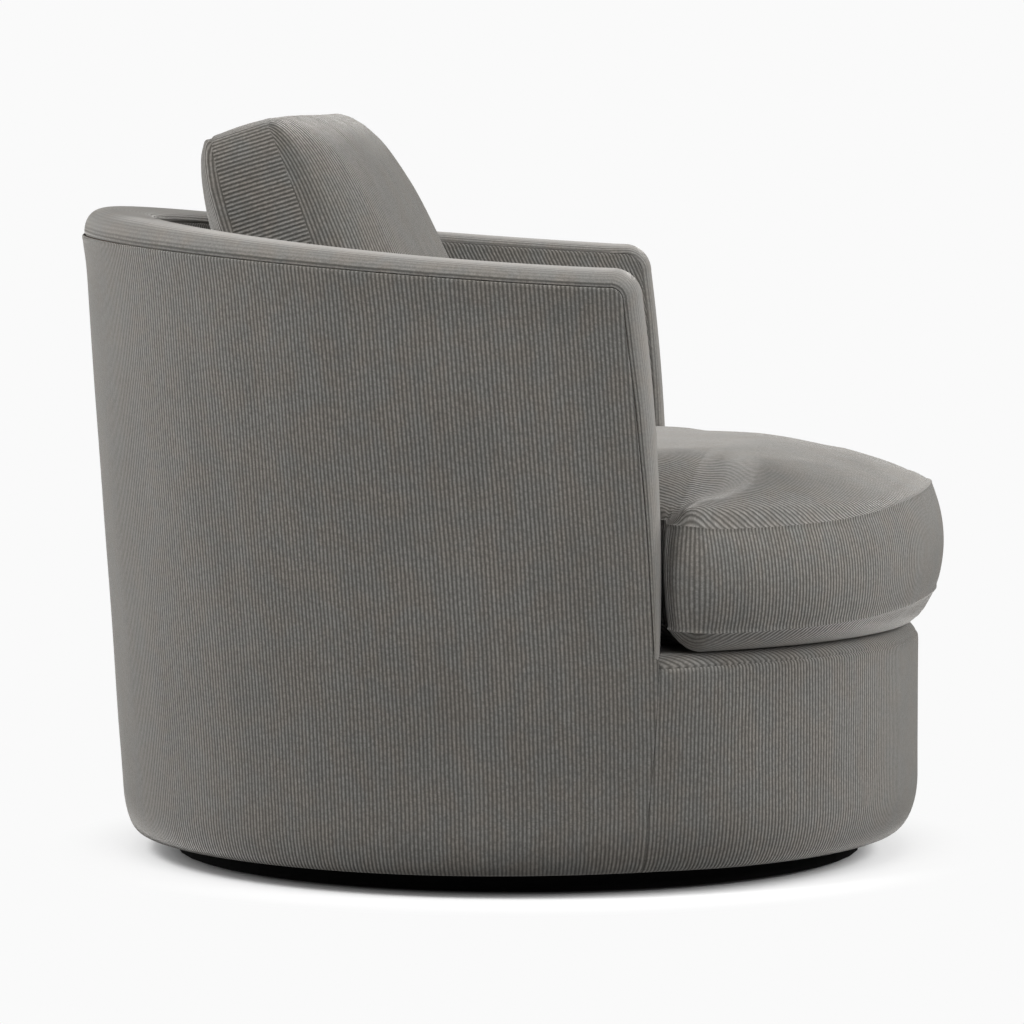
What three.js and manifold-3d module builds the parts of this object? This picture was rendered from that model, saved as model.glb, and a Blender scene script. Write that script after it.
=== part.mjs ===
// Swivel barrel chair: a round upholstered tub on a black plinth that turns on a ball bearing plate.
// Millimetres, +Z up, the sitter faces -Y. The origin is on the floor, on the swivel axis.
import * as THREE from "three";
import { mergeVertices } from "three/addons/utils/BufferGeometryUtils.js";
import Module from "manifold-3d";

const wasm = await Module();
wasm.setup();

// Fits
const touch = 0.3; // gap between two pieces that rest on each other
const overrun = 20; // how far a cutting tool runs past what it cuts

// Barrel shell, measured over the fabric
const shellFootRadius = 409.3;
const shellTopRadius = 452;
const rimBackHeight = 665;
const rimSideHeight = 622;
const rimFrontHeight = 614;
const wallThickness = 78;
const armReachFoot = 133; // how far the arm's front edge stands ahead of the swivel axis
const armReachSeat = 151;
const armReachTop = 130;
const armReachSeatHeight = 370;
const armCornerRadius = 30;

const wallFacets = 48; // flats round the whole turned wall
const frontRows = 6;
const cornerSteps = 3;
const rimRows = 16;
const hemSteps = 2;
const shoulderSteps = 2;

// Upholstery layers
const coverThickness = 5;
const innerCoverThickness = 4;
const rimSeamDropSide = 12; // from the crest of the rim down to the outer seam
const rimSeamDropBack = 25;
const rimInnerSeamDrop = 9;
const rimShoulderShare = 1.35;
const rimInnerShoulderShare = 1.6;
const rimDome = 1.5;
const rimFoamDepth = 28;
const hemFlange = 34;
const hemRoundWidth = 18;
const hemRoundHeight = 32;

// Base under the seat
const baseRadius = 415.5;
const deckHeight = 240;
const deckEdgeRadius = 22;
const deckSeamAngle = Math.PI / 7.2;
const deckPadThickness = 25;

// Timber frame
const boardThickness = 18;
const bottomBoardThickness = 12;
const bottomBoardHole = 30;
const skinThickness = 3;
const skinFootHeight = 66;
const frameDepth = 35;
const armPostWidth = 44;
const frontPostWidth = 60;
const midRailHeight = 430;
const midRailWidth = 60;
const midRailDepth = 15;
const lapDepth = 17.5; // how far the seat board is let into the uprights
const uprightCount = 5;
const uprightTurn = (7 * Math.PI) / 30; // from one upright to the next, radians
const frontPostCount = 3;
const frontPostTurn = Math.PI / 5;
const springOpeningWidth = 430;
const springOpeningDepth = 410;
const springOpeningCorner = 30;
const deckPadLap = 20; // how far the deck pad laps the seat board at each side

// Sinuous seat springs
const springCount = 5;
const springSpacing = 88;
const springWireRadius = 1.9;
const springHalfWidth = 22;
const springWaves = 8;
const springRise = 22;
const springHook = 12;
const clipWidth = 16;
const clipPlate = 1.6;
const clipTail = 9;

// Plinth and swivel
const glideHeight = 3;
const glideRadius = 14;
const glideStem = 3;
const glideStemLength = 8;
const glideCount = 6;
const plinthRadius = 355.6;
const hoopThickness = 16;
const hoopHeight = 17;
const plinthDiscThickness = 12;
const plinthDiscHole = 22;
const plateThickness = 3;
const plateWidth = 305;
const plateCorner = 20;
const screwInset = 20;
const raceDepth = 1.1;
const ballRadius = 4;
const ballRingRadius = 76;
const ballCount = 10;
const cageFacets = 20;
const cageThickness = 2;
const cageWidth = 13;
const kingpinRadius = 8;
const kingpinHeadRadius = 14;
const kingpinHead = 2.6;
const screwHeadRadius = 4.5;
const screwHead = 2.6;
const screwShank = 2.1;
const screwLength = 12;
const dustCoverThickness = 1.2;
const dustCoverHole = 224;

// Seat cushion
const cushionRearRadius = 341;
const cushionFrontRadius = 433;
const cushionBandBottom = 265;
const cushionBandTop = 382;
const cushionCrown = 48;
const cushionCrownReach = 200;
const cushionBulge = 8.5;
const cushionRearBulge = 4;
const cushionUnderRadius = 30; // how far in from the lower seam the underside meets the deck
const earGap = 7;
const earCornerRadius = 28;
const earInnerRadius = 15;
const cushionCentre = 230; // the middle of the T, ahead of the swivel axis
const cushionCrownPower = 2.2;

// Back pillow
const pillowWidth = 500;
const pillowHeight = 350;
const pillowBorder = 72;
const pillowBorderCorner = 58;
const pillowFrontBulge = 80;
const pillowBackBulge = 34;
const pillowPullShare = 0.035;
const pillowPower = 2.3;
const pillowLean = 0.286; // radians back from upright
const pillowTurn = 0.066; // radians, the loose pillow stands a little askew
const pillowSetBack = 202; // middle of the pillow behind the swivel axis
const pillowTopHeight = 762;

// Zips
const zipTapeWidth = 15;
const zipTape = 1.6;
const zipTeethWidth = 5;
const zipTeeth = 1.2;
const zipSet = 0.8; // how deep the tape lies under the fabric's face
const seatZipHalfAngle = 0.62;
const seatZipHeight = 322;
const pillowZipHalf = 190;
const sliderLength = 11;
const sliderWall = 1;
const pullLength = 20;
const pullWidth = 5;

// Colours, roughness and metalness of the finishes
const finishes = {
  rib_fabric: new THREE.MeshStandardMaterial({ color: 0x6f6d69, roughness: 0.95, metalness: 0 }),
  plinth_black: new THREE.MeshStandardMaterial({ color: 0x0b0b0b, roughness: 0.6, metalness: 0 }),
  plywood: new THREE.MeshStandardMaterial({ color: 0xc8a877, roughness: 0.7, metalness: 0 }),
  hardboard: new THREE.MeshStandardMaterial({ color: 0x7a5a3c, roughness: 0.8, metalness: 0 }),
  foam: new THREE.MeshStandardMaterial({ color: 0xe6e0cf, roughness: 1, metalness: 0 }),
  zinc_steel: new THREE.MeshStandardMaterial({ color: 0xb4b6b8, roughness: 0.4, metalness: 1 }),
  spring_wire: new THREE.MeshStandardMaterial({ color: 0x3a3a3c, roughness: 0.5, metalness: 1 }),
  nylon: new THREE.MeshStandardMaterial({ color: 0x1c1c1c, roughness: 0.5, metalness: 0 }),
  dust_cloth: new THREE.MeshStandardMaterial({ color: 0x141414, roughness: 1, metalness: 0 }),
  zip_tape: new THREE.MeshStandardMaterial({ color: 0x4a4947, roughness: 0.9, metalness: 0 }),
};

// Numbers and curves

const mix = (a, b, share) => a + (b - a) * share;
const steps = (from, to, count) =>
  Array.from({ length: count + 1 }, (_, i) => mix(from, to, i / count));
const spread = (count, spacing) =>
  Array.from({ length: count }, (_, i) => (i - (count - 1) / 2) * spacing);
const P2 = (x, y) => new THREE.Vector2(x, y);
const P3 = (x, y, z) => new THREE.Vector3(x, y, z);

// The parabola through three points, each [x, y].
function throughThree(a, b, c, x) {
  const share = (p, q, r) => ((x - q[0]) * (x - r[0])) / ((p[0] - q[0]) * (p[0] - r[0]));
  return a[1] * share(a, b, c) + b[1] * share(b, a, c) + c[1] * share(c, a, b);
}

// Closed surfaces

function geometryOf(points, faces) {
  const volume = faces.reduce(
    (sum, [a, b, c]) => sum + points[a].dot(points[b].clone().cross(points[c])),
    0,
  );
  const turned = volume < 0 ? faces.map(([a, b, c]) => [a, c, b]) : faces;
  return new THREE.BufferGeometry().setFromPoints(points).setIndex(turned.flat());
}

// Rings of equal length joined one to the next, with the ends closed by the triangles in cap.
function skinRings(rings, cap) {
  const count = rings[0].length;
  const faces = [];
  for (let i = 0; i < rings.length - 1; i++) {
    const below = i * count;
    const above = below + count;
    for (let j = 0; j < count; j++) {
      const next = (j + 1) % count;
      faces.push([below + j, below + next, above + next], [below + j, above + next, above + j]);
    }
  }
  const last = (rings.length - 1) * count;
  for (const [a, b, c] of cap) {
    faces.push([a, c, b], [last + a, last + b, last + c]);
  }
  return geometryOf(rings.flat(), faces);
}

// Triangles that fill an outline, turned the same way round as the outline itself.
function fill(outline) {
  const faces = THREE.ShapeUtils.triangulateShape(outline, []);
  return THREE.ShapeUtils.isClockWise(outline) ? faces.map(([a, b, c]) => [a, c, b]) : faces;
}

// A flat outline carried through stations; place(station, x, y) gives each point.
const sweep = (outline, stations, place) =>
  skinRings(
    stations.map((station) => outline.map((p) => place(station, p.x, p.y))),
    fill(outline),
  );

// Level rings stacked one on the next, closed by flat ends.
function stack(rings) {
  return skinRings(rings, fill(rings[0].map((p) => P2(p.x, p.y))));
}

// Rings closed at each end by a single point, as a cushion is.
function pouch(first, rings, last) {
  const count = rings[0].length;
  const points = [first, ...rings.flat(), last];
  const faces = [];
  for (let j = 0; j < count; j++) {
    const next = (j + 1) % count;
    faces.push([0, 1 + next, 1 + j]);
    for (let i = 0; i < rings.length - 1; i++) {
      const below = 1 + i * count;
      const above = below + count;
      faces.push([below + j, below + next, above + next], [below + j, above + next, above + j]);
    }
    const top = 1 + (rings.length - 1) * count;
    faces.push([top + j, top + next, points.length - 1]);
  }
  return geometryOf(points, faces);
}

// A profile of [radius, height] points turned about the vertical axis.
function turned(profile, segments) {
  const closed = profile[0][0] === 0 ? profile : [...profile, profile[0]];
  const made = new THREE.LatheGeometry(
    closed.map(([r, z]) => P2(r, z)),
    segments,
  ).rotateX(Math.PI / 2);
  return asGeometry(asSolid(made));
}

const ring = (inner, outer, low, high, segments) =>
  turned([[inner, low], [outer, low], [outer, high], [inner, high]], segments);
const rod = (radius, low, high, segments) =>
  turned([[0, low], [radius, low], [radius, high], [0, high]], segments);
const block = (width, depth, height, x, y, z) =>
  new THREE.BoxGeometry(width, depth, height).translate(x, y, z);

// Joining and cutting

function asSolid(geometry) {
  const bare = geometry.clone();
  bare.deleteAttribute("normal");
  bare.deleteAttribute("uv");
  const merged = mergeVertices(bare, touch / 1000);
  const solid = new wasm.Manifold(
    new wasm.Mesh({
      numProp: 3,
      vertProperties: merged.attributes.position.array,
      triVerts: new Uint32Array(merged.index.array),
    }),
  );
  if (solid.volume() >= 0) return solid;
  merged.index.array.reverse();
  return asSolid(merged);
}

function asGeometry(solid) {
  const { vertProperties, triVerts } = solid.getMesh();
  return new THREE.BufferGeometry()
    .setAttribute("position", new THREE.BufferAttribute(vertProperties, 3))
    .setIndex(new THREE.BufferAttribute(triVerts, 1));
}

const cut = (geometry, ...tools) =>
  asGeometry(tools.reduce((solid, tool) => solid.subtract(asSolid(tool)), asSolid(geometry)));
const join = (geometry, ...others) =>
  asGeometry(others.reduce((solid, other) => solid.add(asSolid(other)), asSolid(geometry)));
const common = (geometry, other) => asGeometry(asSolid(geometry).intersect(asSolid(other)));

// Levels, from the floor up
const discLow = glideHeight + touch;
const discTop = discLow + plinthDiscThickness;
const lowerPlateLow = discTop + touch;
const lowerPlateTop = lowerPlateLow + plateThickness;
const raceRadius = ballRadius + 2 * touch;
const ballCentre = lowerPlateTop + raceRadius - raceDepth;
const upperPlateLow = 2 * ballCentre - lowerPlateTop;
const upperPlateTop = upperPlateLow + plateThickness;
const bottomBoardLow = upperPlateTop + touch;
const bottomBoardTop = bottomBoardLow + bottomBoardThickness;
const hemHeight = bottomBoardLow - touch - coverThickness;
const deckUnder = deckHeight - coverThickness;
const springTop = deckUnder - touch - deckPadThickness - touch;
const springLow = springTop - springWireRadius - springRise;
const seatBoardTop = springLow - springWireRadius - touch - clipPlate - touch;
const seatBoardLow = seatBoardTop - boardThickness;

// The barrel wall is a turned cone, trimmed to the chair's side profile. Depth is measured from its outer
// face inwards, and reach is how far a point stands ahead of the swivel axis.

const facet = (2 * Math.PI) / wallFacets;
const far = shellTopRadius + overrun;
const shellRadius = (z) =>
  mix(shellFootRadius, shellTopRadius, (z - hemHeight) / (rimBackHeight - hemHeight));
const armRows = steps(hemHeight, rimFrontHeight, frontRows);
function armReach(z) {
  const bow = (height) =>
    throughThree(
      [hemHeight, armReachFoot],
      [armReachSeatHeight, armReachSeat],
      [rimFrontHeight, armReachTop],
      height,
    );
  const row = Math.max(armRows.slice(0, -1).findLastIndex((height) => height <= z), 0);
  const [low, high] = [armRows[row], armRows[row + 1]];
  return mix(bow(low), bow(high), (z - low) / (high - low));
}
const crestRadius = shellTopRadius - wallThickness / 2;
const crestHeight = (reach) =>
  throughThree(
    [armReachSeat, rimFrontHeight],
    [0, rimSideHeight],
    [-crestRadius, rimBackHeight],
    reach,
  );
const seamDrop = (reach) => {
  const share = Math.min(Math.max(-reach / crestRadius, 0), 1);
  return mix(rimSeamDropSide, rimSeamDropBack, share * share);
};
const cornerReach = armReachTop - armCornerRadius;
const cornerHeight = crestHeight(cornerReach) - armCornerRadius;
const cornerOffset = armReach(cornerHeight) - armReachTop;
const cornerPoint = (angle, radius) =>
  P2(
    cornerReach + cornerOffset + radius * Math.cos(angle),
    cornerHeight + radius * Math.sin(angle),
  );
const frontLine = (low, high, inset) =>
  [low, ...armRows.filter((z) => z > low + touch && z < high - touch), high].map((z) =>
    P2(armReach(z) - inset, z),
  );

// Side profile of the wall from the foot up the arm front, round its corner and back along the rim, drawn
// in by an inset that may change with the reach.
function sideProfile(foot, insetOf) {
  const inset = insetOf(0);
  const rim = steps(cornerReach + cornerOffset, -far, rimRows).slice(1);
  return [
    ...frontLine(foot, cornerHeight, inset),
    ...steps(0, Math.PI / 2, cornerSteps).slice(1).map((a) => cornerPoint(a, armCornerRadius - inset)),
    ...rim.map((reach) => P2(reach, crestHeight(reach) - insetOf(reach))),
    P2(-far, foot),
  ];
}
const underCrest = (inset) => [
  P2(far, -overrun),
  ...steps(far, -far, rimRows).map((reach) => P2(reach, crestHeight(reach) - inset)),
  P2(-far, -overrun),
];
const sideways = (shape, from = -far, to = far) =>
  sweep(shape, [from, to], (x, reach, z) => P3(x, -reach, z));
const trim = (geometry, shape) => common(geometry, sideways(shape));

// A turned layer of the wall between two depths.
const coneShell = (outer, inner, low, high = rimBackHeight + overrun) =>
  turned(
    [
      [shellRadius(low) - inner, low],
      [shellRadius(low) - outer, low],
      [shellRadius(high) - outer, high],
      [shellRadius(high) - inner, high],
    ],
    wallFacets,
  );
const wallLayer = (outer, inner, low, inset) =>
  trim(coneShell(outer, inner, low), sideProfile(low - overrun, () => inset));

// Hem: the cover rounds under the bottom edge and ends in a stapled flange.
function hemCurve(thickness) {
  const width = hemRoundWidth - thickness;
  const height = hemRoundHeight - thickness;
  return steps(0, Math.PI / 2, hemSteps).map((angle) => [
    thickness + width * (1 - Math.cos(angle)),
    hemHeight + thickness + height * (1 - Math.sin(angle)),
  ]);
}
function hemmed(radiusOf, upperOuter, upperInner) {
  const end = hemRoundWidth + hemFlange;
  const profile = [
    ...upperOuter,
    ...hemCurve(0),
    [end, hemHeight],
    [end, hemHeight + coverThickness],
    ...hemCurve(coverThickness).reverse(),
    ...upperInner.reverse(),
  ];
  return turned(profile.map(([depth, z]) => [radiusOf(z) - depth, z]), wallFacets);
}

// Side and back panel. Below the deck it runs forward to the seam where the front panel is sewn to it.
const deckSeamHeight = deckHeight - deckEdgeRadius * (1 - Math.sin(deckSeamAngle));
function outerCover() {
  const top = rimBackHeight + overrun;
  const seam = sideProfile(deckHeight, (reach) => seamDrop(reach) + 2 * touch);
  const below = frontLine(hemHeight - overrun, deckHeight, 0);
  const shape = [...below, ...seam.slice(0, -1), P2(-far, hemHeight - overrun)];
  return trim(hemmed(shellRadius, [[0, top]], [[coverThickness, top]]), shape);
}

// The rounded front edge of the seat deck, as [radius, height] points.
const edgeArc = (thickness, from) =>
  steps(from, Math.PI / 2, shoulderSteps).map((angle) => [
    baseRadius - deckEdgeRadius + (deckEdgeRadius - thickness) * Math.cos(angle),
    deckHeight - deckEdgeRadius + (deckEdgeRadius - thickness) * Math.sin(angle),
  ]);

// Front panel of the base, between the two arms, up to the seam on the rounded edge.
const frontShape = () => [
  ...frontLine(hemHeight - overrun, deckHeight, -touch),
  P2(far, deckHeight),
  P2(far, hemHeight - overrun),
];
function baseFrontCover() {
  const upper = (thickness) => {
    const [radius, z] = edgeArc(thickness, deckSeamAngle)[0];
    return [[baseRadius - radius, z - touch], [thickness, deckHeight - deckEdgeRadius]];
  };
  return trim(hemmed(() => baseRadius, upper(0), upper(coverThickness)), frontShape());
}

// Stations along the wall's free edge: up one arm front, round its corner, along the rim and down again.
function rimStations(foot) {
  const side = (sign) => [
    ...frontLine(foot, cornerHeight, 0)
      .slice(0, -1)
      .map(({ x, y }) => ({ sign, reach: x, z: y, ahead: 1, up: 0 })),
    ...steps(0, Math.PI / 2, cornerSteps).map((angle) => {
      const { x, y } = cornerPoint(angle, armCornerRadius);
      return { sign, reach: x, z: y, ahead: Math.cos(angle), up: Math.sin(angle) };
    }),
  ];
  const last = Math.floor(Math.acos(-cornerReach / shellTopRadius) / facet);
  const along = steps(-last, last, 2 * last).map((i) => ({ angle: i * facet }));
  return [...side(-1), ...along, ...side(1).reverse()];
}

// The half width of the faceted wall where it has a given radius at its corners.
function halfWidth(radius, reach) {
  const corner = Math.floor(Math.acos(-reach / radius) / facet);
  const near = P2(Math.sin(corner * facet), -Math.cos(corner * facet)).multiplyScalar(radius);
  const next = P2(Math.sin((corner + 1) * facet), -Math.cos((corner + 1) * facet)).multiplyScalar(radius);
  return mix(near.x, next.x, (reach - near.y) / (next.y - near.y));
}

// A point of the wall at a station, at a depth and at an inset from the free edge.
function rimPoint(at, depth, inset) {
  if (at.angle === undefined) {
    const z = at.z - at.up * inset;
    const reach = at.reach - at.ahead * inset;
    return P3(at.sign * halfWidth(shellRadius(z) - depth, reach), -reach, z);
  }
  let radius = crestRadius;
  let z = rimBackHeight;
  for (let pass = 0; pass < 4; pass++) {
    z = crestHeight(-radius * Math.cos(at.angle)) - inset;
    radius = shellRadius(z) - depth;
  }
  return P3(radius * Math.sin(at.angle), radius * Math.cos(at.angle), z);
}

// Rim band: rounded shoulders with a slightly domed crest, sewn to the outer and inner panels. Each point of
// its section has a side, a share of the shoulder's width and a share of its height.
const bandTurns = steps(0, Math.PI / 2, shoulderSteps);
const bandSection = [
  ...bandTurns.map((a) => ({ side: -1, out: Math.cos(a), lift: Math.sin(a) })),
  { side: 0, out: 0, lift: 1 },
  ...bandTurns.map((a) => ({ side: 1, out: Math.cos(a), lift: Math.sin(a) })).reverse(),
];
function bandPoint(at, { side, out, lift }, skin, leg) {
  if (side === 0) return rimPoint(at, wallThickness / 2, skin);
  const drop = side > 0 ? rimInnerSeamDrop : seamDrop(-rimPoint(at, 0, rimSeamDropBack).y);
  const width = drop * (side > 0 ? rimInnerShoulderShare : rimShoulderShare);
  const depth = skin + (width - skin) * (1 - out);
  const inset = lift === 0 ? Math.max(leg, drop) : mix(drop, skin + rimDome, lift);
  return rimPoint(at, side > 0 ? wallThickness - depth : depth, inset);
}
function bandRings(section, skins, leg) {
  const rings = rimStations(deckHeight + touch).map((at) =>
    section.map((p, i) => bandPoint(at, p, skins[i], leg)),
  );
  return skinRings(rings, fill(rings[0].map((p) => P2(Math.abs(p.x), p.y))));
}
function rimBand() {
  const section = [...bandSection, ...bandSection.slice().reverse()];
  const skins = section.map((p, i) => (i < bandSection.length ? 0 : coverThickness));
  return bandRings(section, skins, 0);
}
function rimFoam() {
  const skins = bandSection.map(() => coverThickness + touch);
  return bandRings(bandSection, skins, rimFoamDepth);
}

// Where the timber frame stands in the wall
const skinDepth = coverThickness + touch;
const frameOuter = skinDepth + skinThickness + touch;
const frameInner = frameOuter + frameDepth;
const foamOuter = frameInner + touch;
const foamInner = wallThickness - innerCoverThickness - touch;
const underFoam = rimFoamDepth + touch; // inset of everything that stops under the rim foam
const underRail = underFoam + boardThickness + touch;

const outerSkin = () => wallLayer(skinDepth, skinDepth + skinThickness, skinFootHeight, underFoam);
const innerFoam = () => wallLayer(foamOuter, foamInner, seatBoardTop + touch, underFoam);
const innerCover = () =>
  wallLayer(
    wallThickness - innerCoverThickness,
    wallThickness,
    deckHeight + touch,
    rimInnerSeamDrop + touch,
  );
const topRail = () =>
  cut(
    wallLayer(frameOuter, frameInner, seatBoardTop, underFoam),
    sideways(underCrest(underFoam + boardThickness)),
  );

// Uprights stand on edge round the wall, let into the seat board and the middle rail.
const seatBoardRadius = shellRadius(seatBoardTop) - frameOuter - lapDepth;
const lap = () =>
  ring(
    seatBoardRadius / 2,
    seatBoardRadius + touch,
    seatBoardLow - touch,
    seatBoardTop + touch,
    wallFacets,
  );
const roundFit = shellTopRadius * (1 - Math.cos(facet / 2)) + touch; // a flat board behind a round skin
const midRailBand = (grow, inner) =>
  coneShell(
    frameInner - midRailDepth - grow,
    inner,
    midRailHeight - midRailWidth / 2 - grow,
    midRailHeight + midRailWidth / 2 + grow,
  );
function upright(angle) {
  const low = bottomBoardTop + touch;
  const edge = (depth, z) => P2(shellRadius(z) - depth, z);
  const side = [
    edge(frameOuter + roundFit, low),
    edge(frameOuter + roundFit, rimBackHeight),
    edge(frameInner, rimBackHeight),
    edge(frameInner, low),
  ];
  const board = sweep(side, [-boardThickness / 2, boardThickness / 2], (x, y, z) => P3(x, y, z));
  const notched = cut(board.rotateZ(-angle), lap(), midRailBand(touch, frameInner + overrun));
  return trim(notched, underCrest(underRail));
}
const postBack = underFoam + armPostWidth;
function armPost(sign) {
  const low = bottomBoardTop + touch;
  const strip = [
    ...frontLine(low - overrun, rimFrontHeight, underFoam),
    ...frontLine(low - overrun, rimFrontHeight, postBack).reverse(),
  ];
  const post = common(
    coneShell(frameOuter, frameInner, low),
    sideways(strip, ...(sign > 0 ? [0, far] : [-far, 0])),
  );
  return cut(trim(post, underCrest(underRail)), lap());
}
function midRail() {
  const [low, high] = [midRailHeight - midRailWidth, midRailHeight + midRailWidth];
  const front = frontLine(low, high, postBack + touch);
  return trim(midRailBand(0, frameInner), [...front, P2(-far, high), P2(-far, low)]);
}

// Plan of the seat: a round lobe ahead of the arms and a narrower round part between them, with filleted
// corners where the lobe turns in front of each arm. Points run from the back round to the front.
function lobedPlan({ rear, front, back, hollow, corner, count }) {
  const arc = (centre, radius, from, to, number) =>
    steps(from, to, number).map((a) =>
      P2(centre.x + radius * Math.sin(a), centre.y + radius * Math.cos(a)),
    );
  const origin = P2(0, 0);
  const notch = P2(Math.sqrt((rear + hollow) ** 2 - (back - hollow) ** 2), back - hollow);
  const ear = P2(Math.sqrt((front - corner) ** 2 - (back + corner) ** 2), back + corner);
  const notchAngle = Math.atan2(notch.x, notch.y);
  const earAngle = Math.atan2(ear.x, ear.y);
  const half = [
    ...arc(origin, rear, Math.PI, notchAngle, count.rear),
    ...arc(notch, hollow, notchAngle - Math.PI, 0, count.corner).slice(1),
    ...arc(ear, corner, Math.PI, earAngle, count.corner),
    ...arc(origin, front, earAngle, 0, count.front).slice(1),
  ];
  const mirrored = half.slice(1, -1).reverse();
  return [...half, ...mirrored.map((p) => P2(-p.x, p.y))];
}

// The outline moved outwards by an amount that may differ from point to point.
function offsetPlan(plan, amount) {
  return plan.map((p, i) => {
    const before = plan[(i + plan.length - 1) % plan.length];
    const after = plan[(i + 1) % plan.length];
    const along = after.clone().sub(before).normalize();
    const step = amount(p);
    return P2(p.x + along.y * step, p.y - along.x * step);
  });
}
function edgeDistance(plan, p) {
  const distances = plan.map((a, i) => {
    const b = plan[(i + 1) % plan.length];
    const side = b.clone().sub(a);
    const share = Math.min(Math.max(p.clone().sub(a).dot(side) / side.lengthSq(), 0), 1);
    return p.distanceTo(a.clone().addScaledVector(side, share));
  });
  return Math.min(...distances);
}
const atHeight = (plan, z) => plan.map((p) => P3(p.x, -p.y, z));
const prism = (plan, low, high) => stack([atHeight(plan, low), atHeight(plan, high)]);

function roundedRectangle(width, depth, corner, arcSteps = 4) {
  const quarter = steps(0, Math.PI / 2, arcSteps);
  const corners = [[1, 1], [-1, 1], [-1, -1], [1, -1]];
  return corners.flatMap(([sx, sy], turn) =>
    quarter.map((a) => {
      const angle = a + (turn * Math.PI) / 2;
      const x = sx * (width / 2 - corner) + corner * Math.cos(angle);
      return P2(x, sy * (depth / 2 - corner) + corner * Math.sin(angle));
    }),
  );
}

// Seat deck
const deckRear = (shellRadius(seatBoardTop) - foamInner) * Math.cos(facet / 2) - touch;
function deckPlan() {
  const back = armReach(deckHeight) + touch;
  const start = Math.acos(back / deckRear);
  const round = steps(start, 2 * Math.PI - start, wallFacets / 2).map((angle) =>
    P2(deckRear * Math.sin(angle), deckRear * Math.cos(angle)),
  );
  return [...round, P2(-far, back), P2(-far, far), P2(far, far), P2(far, back)];
}
const hookPlace = springOpeningDepth / 2 + springHook;
const stripDepth = clipWidth + clipTail;
const stripEnd = hookPlace + clipTail + stripDepth / 2;
const padPlan = (grow) =>
  roundedRectangle(
    springOpeningWidth + 2 * (deckPadLap + grow),
    2 * (stripEnd + touch + grow),
    springOpeningCorner,
  );

// The deck fabric lies flat, turns over the front edge and ends at the seam above the front panel.
const deckRegion = () => prism(deckPlan(), seatBoardLow, deckHeight + overrun);
function deckCover() {
  const profile = [
    [0, deckHeight],
    ...edgeArc(0, deckSeamAngle).reverse(),
    ...edgeArc(coverThickness, deckSeamAngle),
    [0, deckUnder],
  ];
  return common(turned(profile, wallFacets), deckRegion());
}
function edgeFoam() {
  const profile = [
    [0, seatBoardTop + touch],
    [baseRadius - coverThickness - touch, seatBoardTop + touch],
    [baseRadius - coverThickness - touch, deckHeight - deckEdgeRadius],
    ...edgeArc(coverThickness + touch, deckSeamAngle),
    [0, deckUnder - touch],
  ];
  const foam = common(turned(profile, wallFacets), deckRegion());
  return cut(foam, prism(padPlan(touch), seatBoardTop - overrun, deckHeight + overrun));
}
const deckPad = () => prism(padPlan(0), springTop + touch, deckUnder - touch);
const seatBoard = () =>
  cut(
    rod(seatBoardRadius, seatBoardLow, seatBoardTop, wallFacets),
    prism(
      roundedRectangle(springOpeningWidth, springOpeningDepth, springOpeningCorner),
      seatBoardLow - overrun,
      seatBoardTop + overrun,
    ),
  );
const frontSkin = () =>
  trim(
    ring(
      baseRadius - skinDepth - skinThickness,
      baseRadius - skinDepth,
      skinFootHeight,
      seatBoardTop,
      wallFacets,
    ),
    frontShape(),
  );
function frontPost(angle) {
  const post = block(
    frontPostWidth,
    frameDepth,
    seatBoardLow - bottomBoardTop - 2 * touch,
    0,
    0,
    (seatBoardLow + bottomBoardTop) / 2,
  );
  return post.translate(0, frameDepth / 2 - seatBoardRadius, 0).rotateZ(angle);
}
const bottomBoard = () =>
  cut(
    ring(bottomBoardHole, shellFootRadius - hemRoundWidth - coverThickness, bottomBoardLow, bottomBoardTop, wallFacets),
    ...screwPlaces.map(([x, y]) =>
      rod(screwShank + touch, bottomBoardLow - overrun, bottomBoardTop + overrun, 8).translate(x, y, 0),
    ),
  );
const dustCover = () => {
  const outside = shellRadius(hemHeight) - hemRoundWidth - hemFlange - touch;
  return ring(dustCoverHole, outside, upperPlateTop - dustCoverThickness, upperPlateTop, wallFacets);
};

// Sinuous seat springs, crowned upwards, each hooked at both ends into a clip strip.
const springPlaces = spread(springCount, springSpacing);
const springSteps = 5;
class SpringLine extends THREE.Curve {
  getPoint(share, target = P3(0, 0, 0)) {
    const y = mix(-hookPlace, hookPlace, share);
    const wave = springHalfWidth * Math.cos(share * springWaves * 2 * Math.PI);
    const rise = springRise * (1 - (2 * share - 1) ** 2);
    return target.set(wave, y, springLow + rise);
  }
}
function tube(curve, radius, count, sides) {
  const section = new THREE.Shape(
    Array.from({ length: sides }, (_, i) => {
      const angle = (i * 2 * Math.PI) / sides;
      return P2(radius * Math.cos(angle), radius * Math.sin(angle));
    }),
  );
  return new THREE.ExtrudeGeometry(section, { steps: count, extrudePath: curve, bevelEnabled: false });
}
const seatSpring = (x) =>
  tube(new SpringLine(), springWireRadius, springWaves * springSteps, 5).translate(x, 0, 0);
const stripTop = springLow - springWireRadius - touch;
function clipStrip(sign) {
  const span = springPlaces.at(-1) - springPlaces[0] + 2 * springHalfWidth + clipWidth;
  const low = stripTop - clipPlate;
  const reach = springWireRadius + touch;
  const bars = springPlaces.flatMap((x) => {
    const top = springLow + reach;
    const place = x + springHalfWidth - clipWidth;
    const back = sign * (hookPlace + reach + clipPlate / 2 + clipTail);
    const wall = block(clipWidth, clipPlate, top + clipPlate - low, place, back, (top + clipPlate + low) / 2);
    const length = clipTail + 2 * reach + clipPlate;
    const lid = block(clipWidth, length, clipPlate, place, back - (sign * length) / 2, top + clipPlate / 2);
    return [wall, lid];
  });
  const plate = block(span, stripDepth, clipPlate, 0, sign * (hookPlace + clipTail), low + clipPlate / 2);
  return join(plate, ...bars);
}

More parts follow.
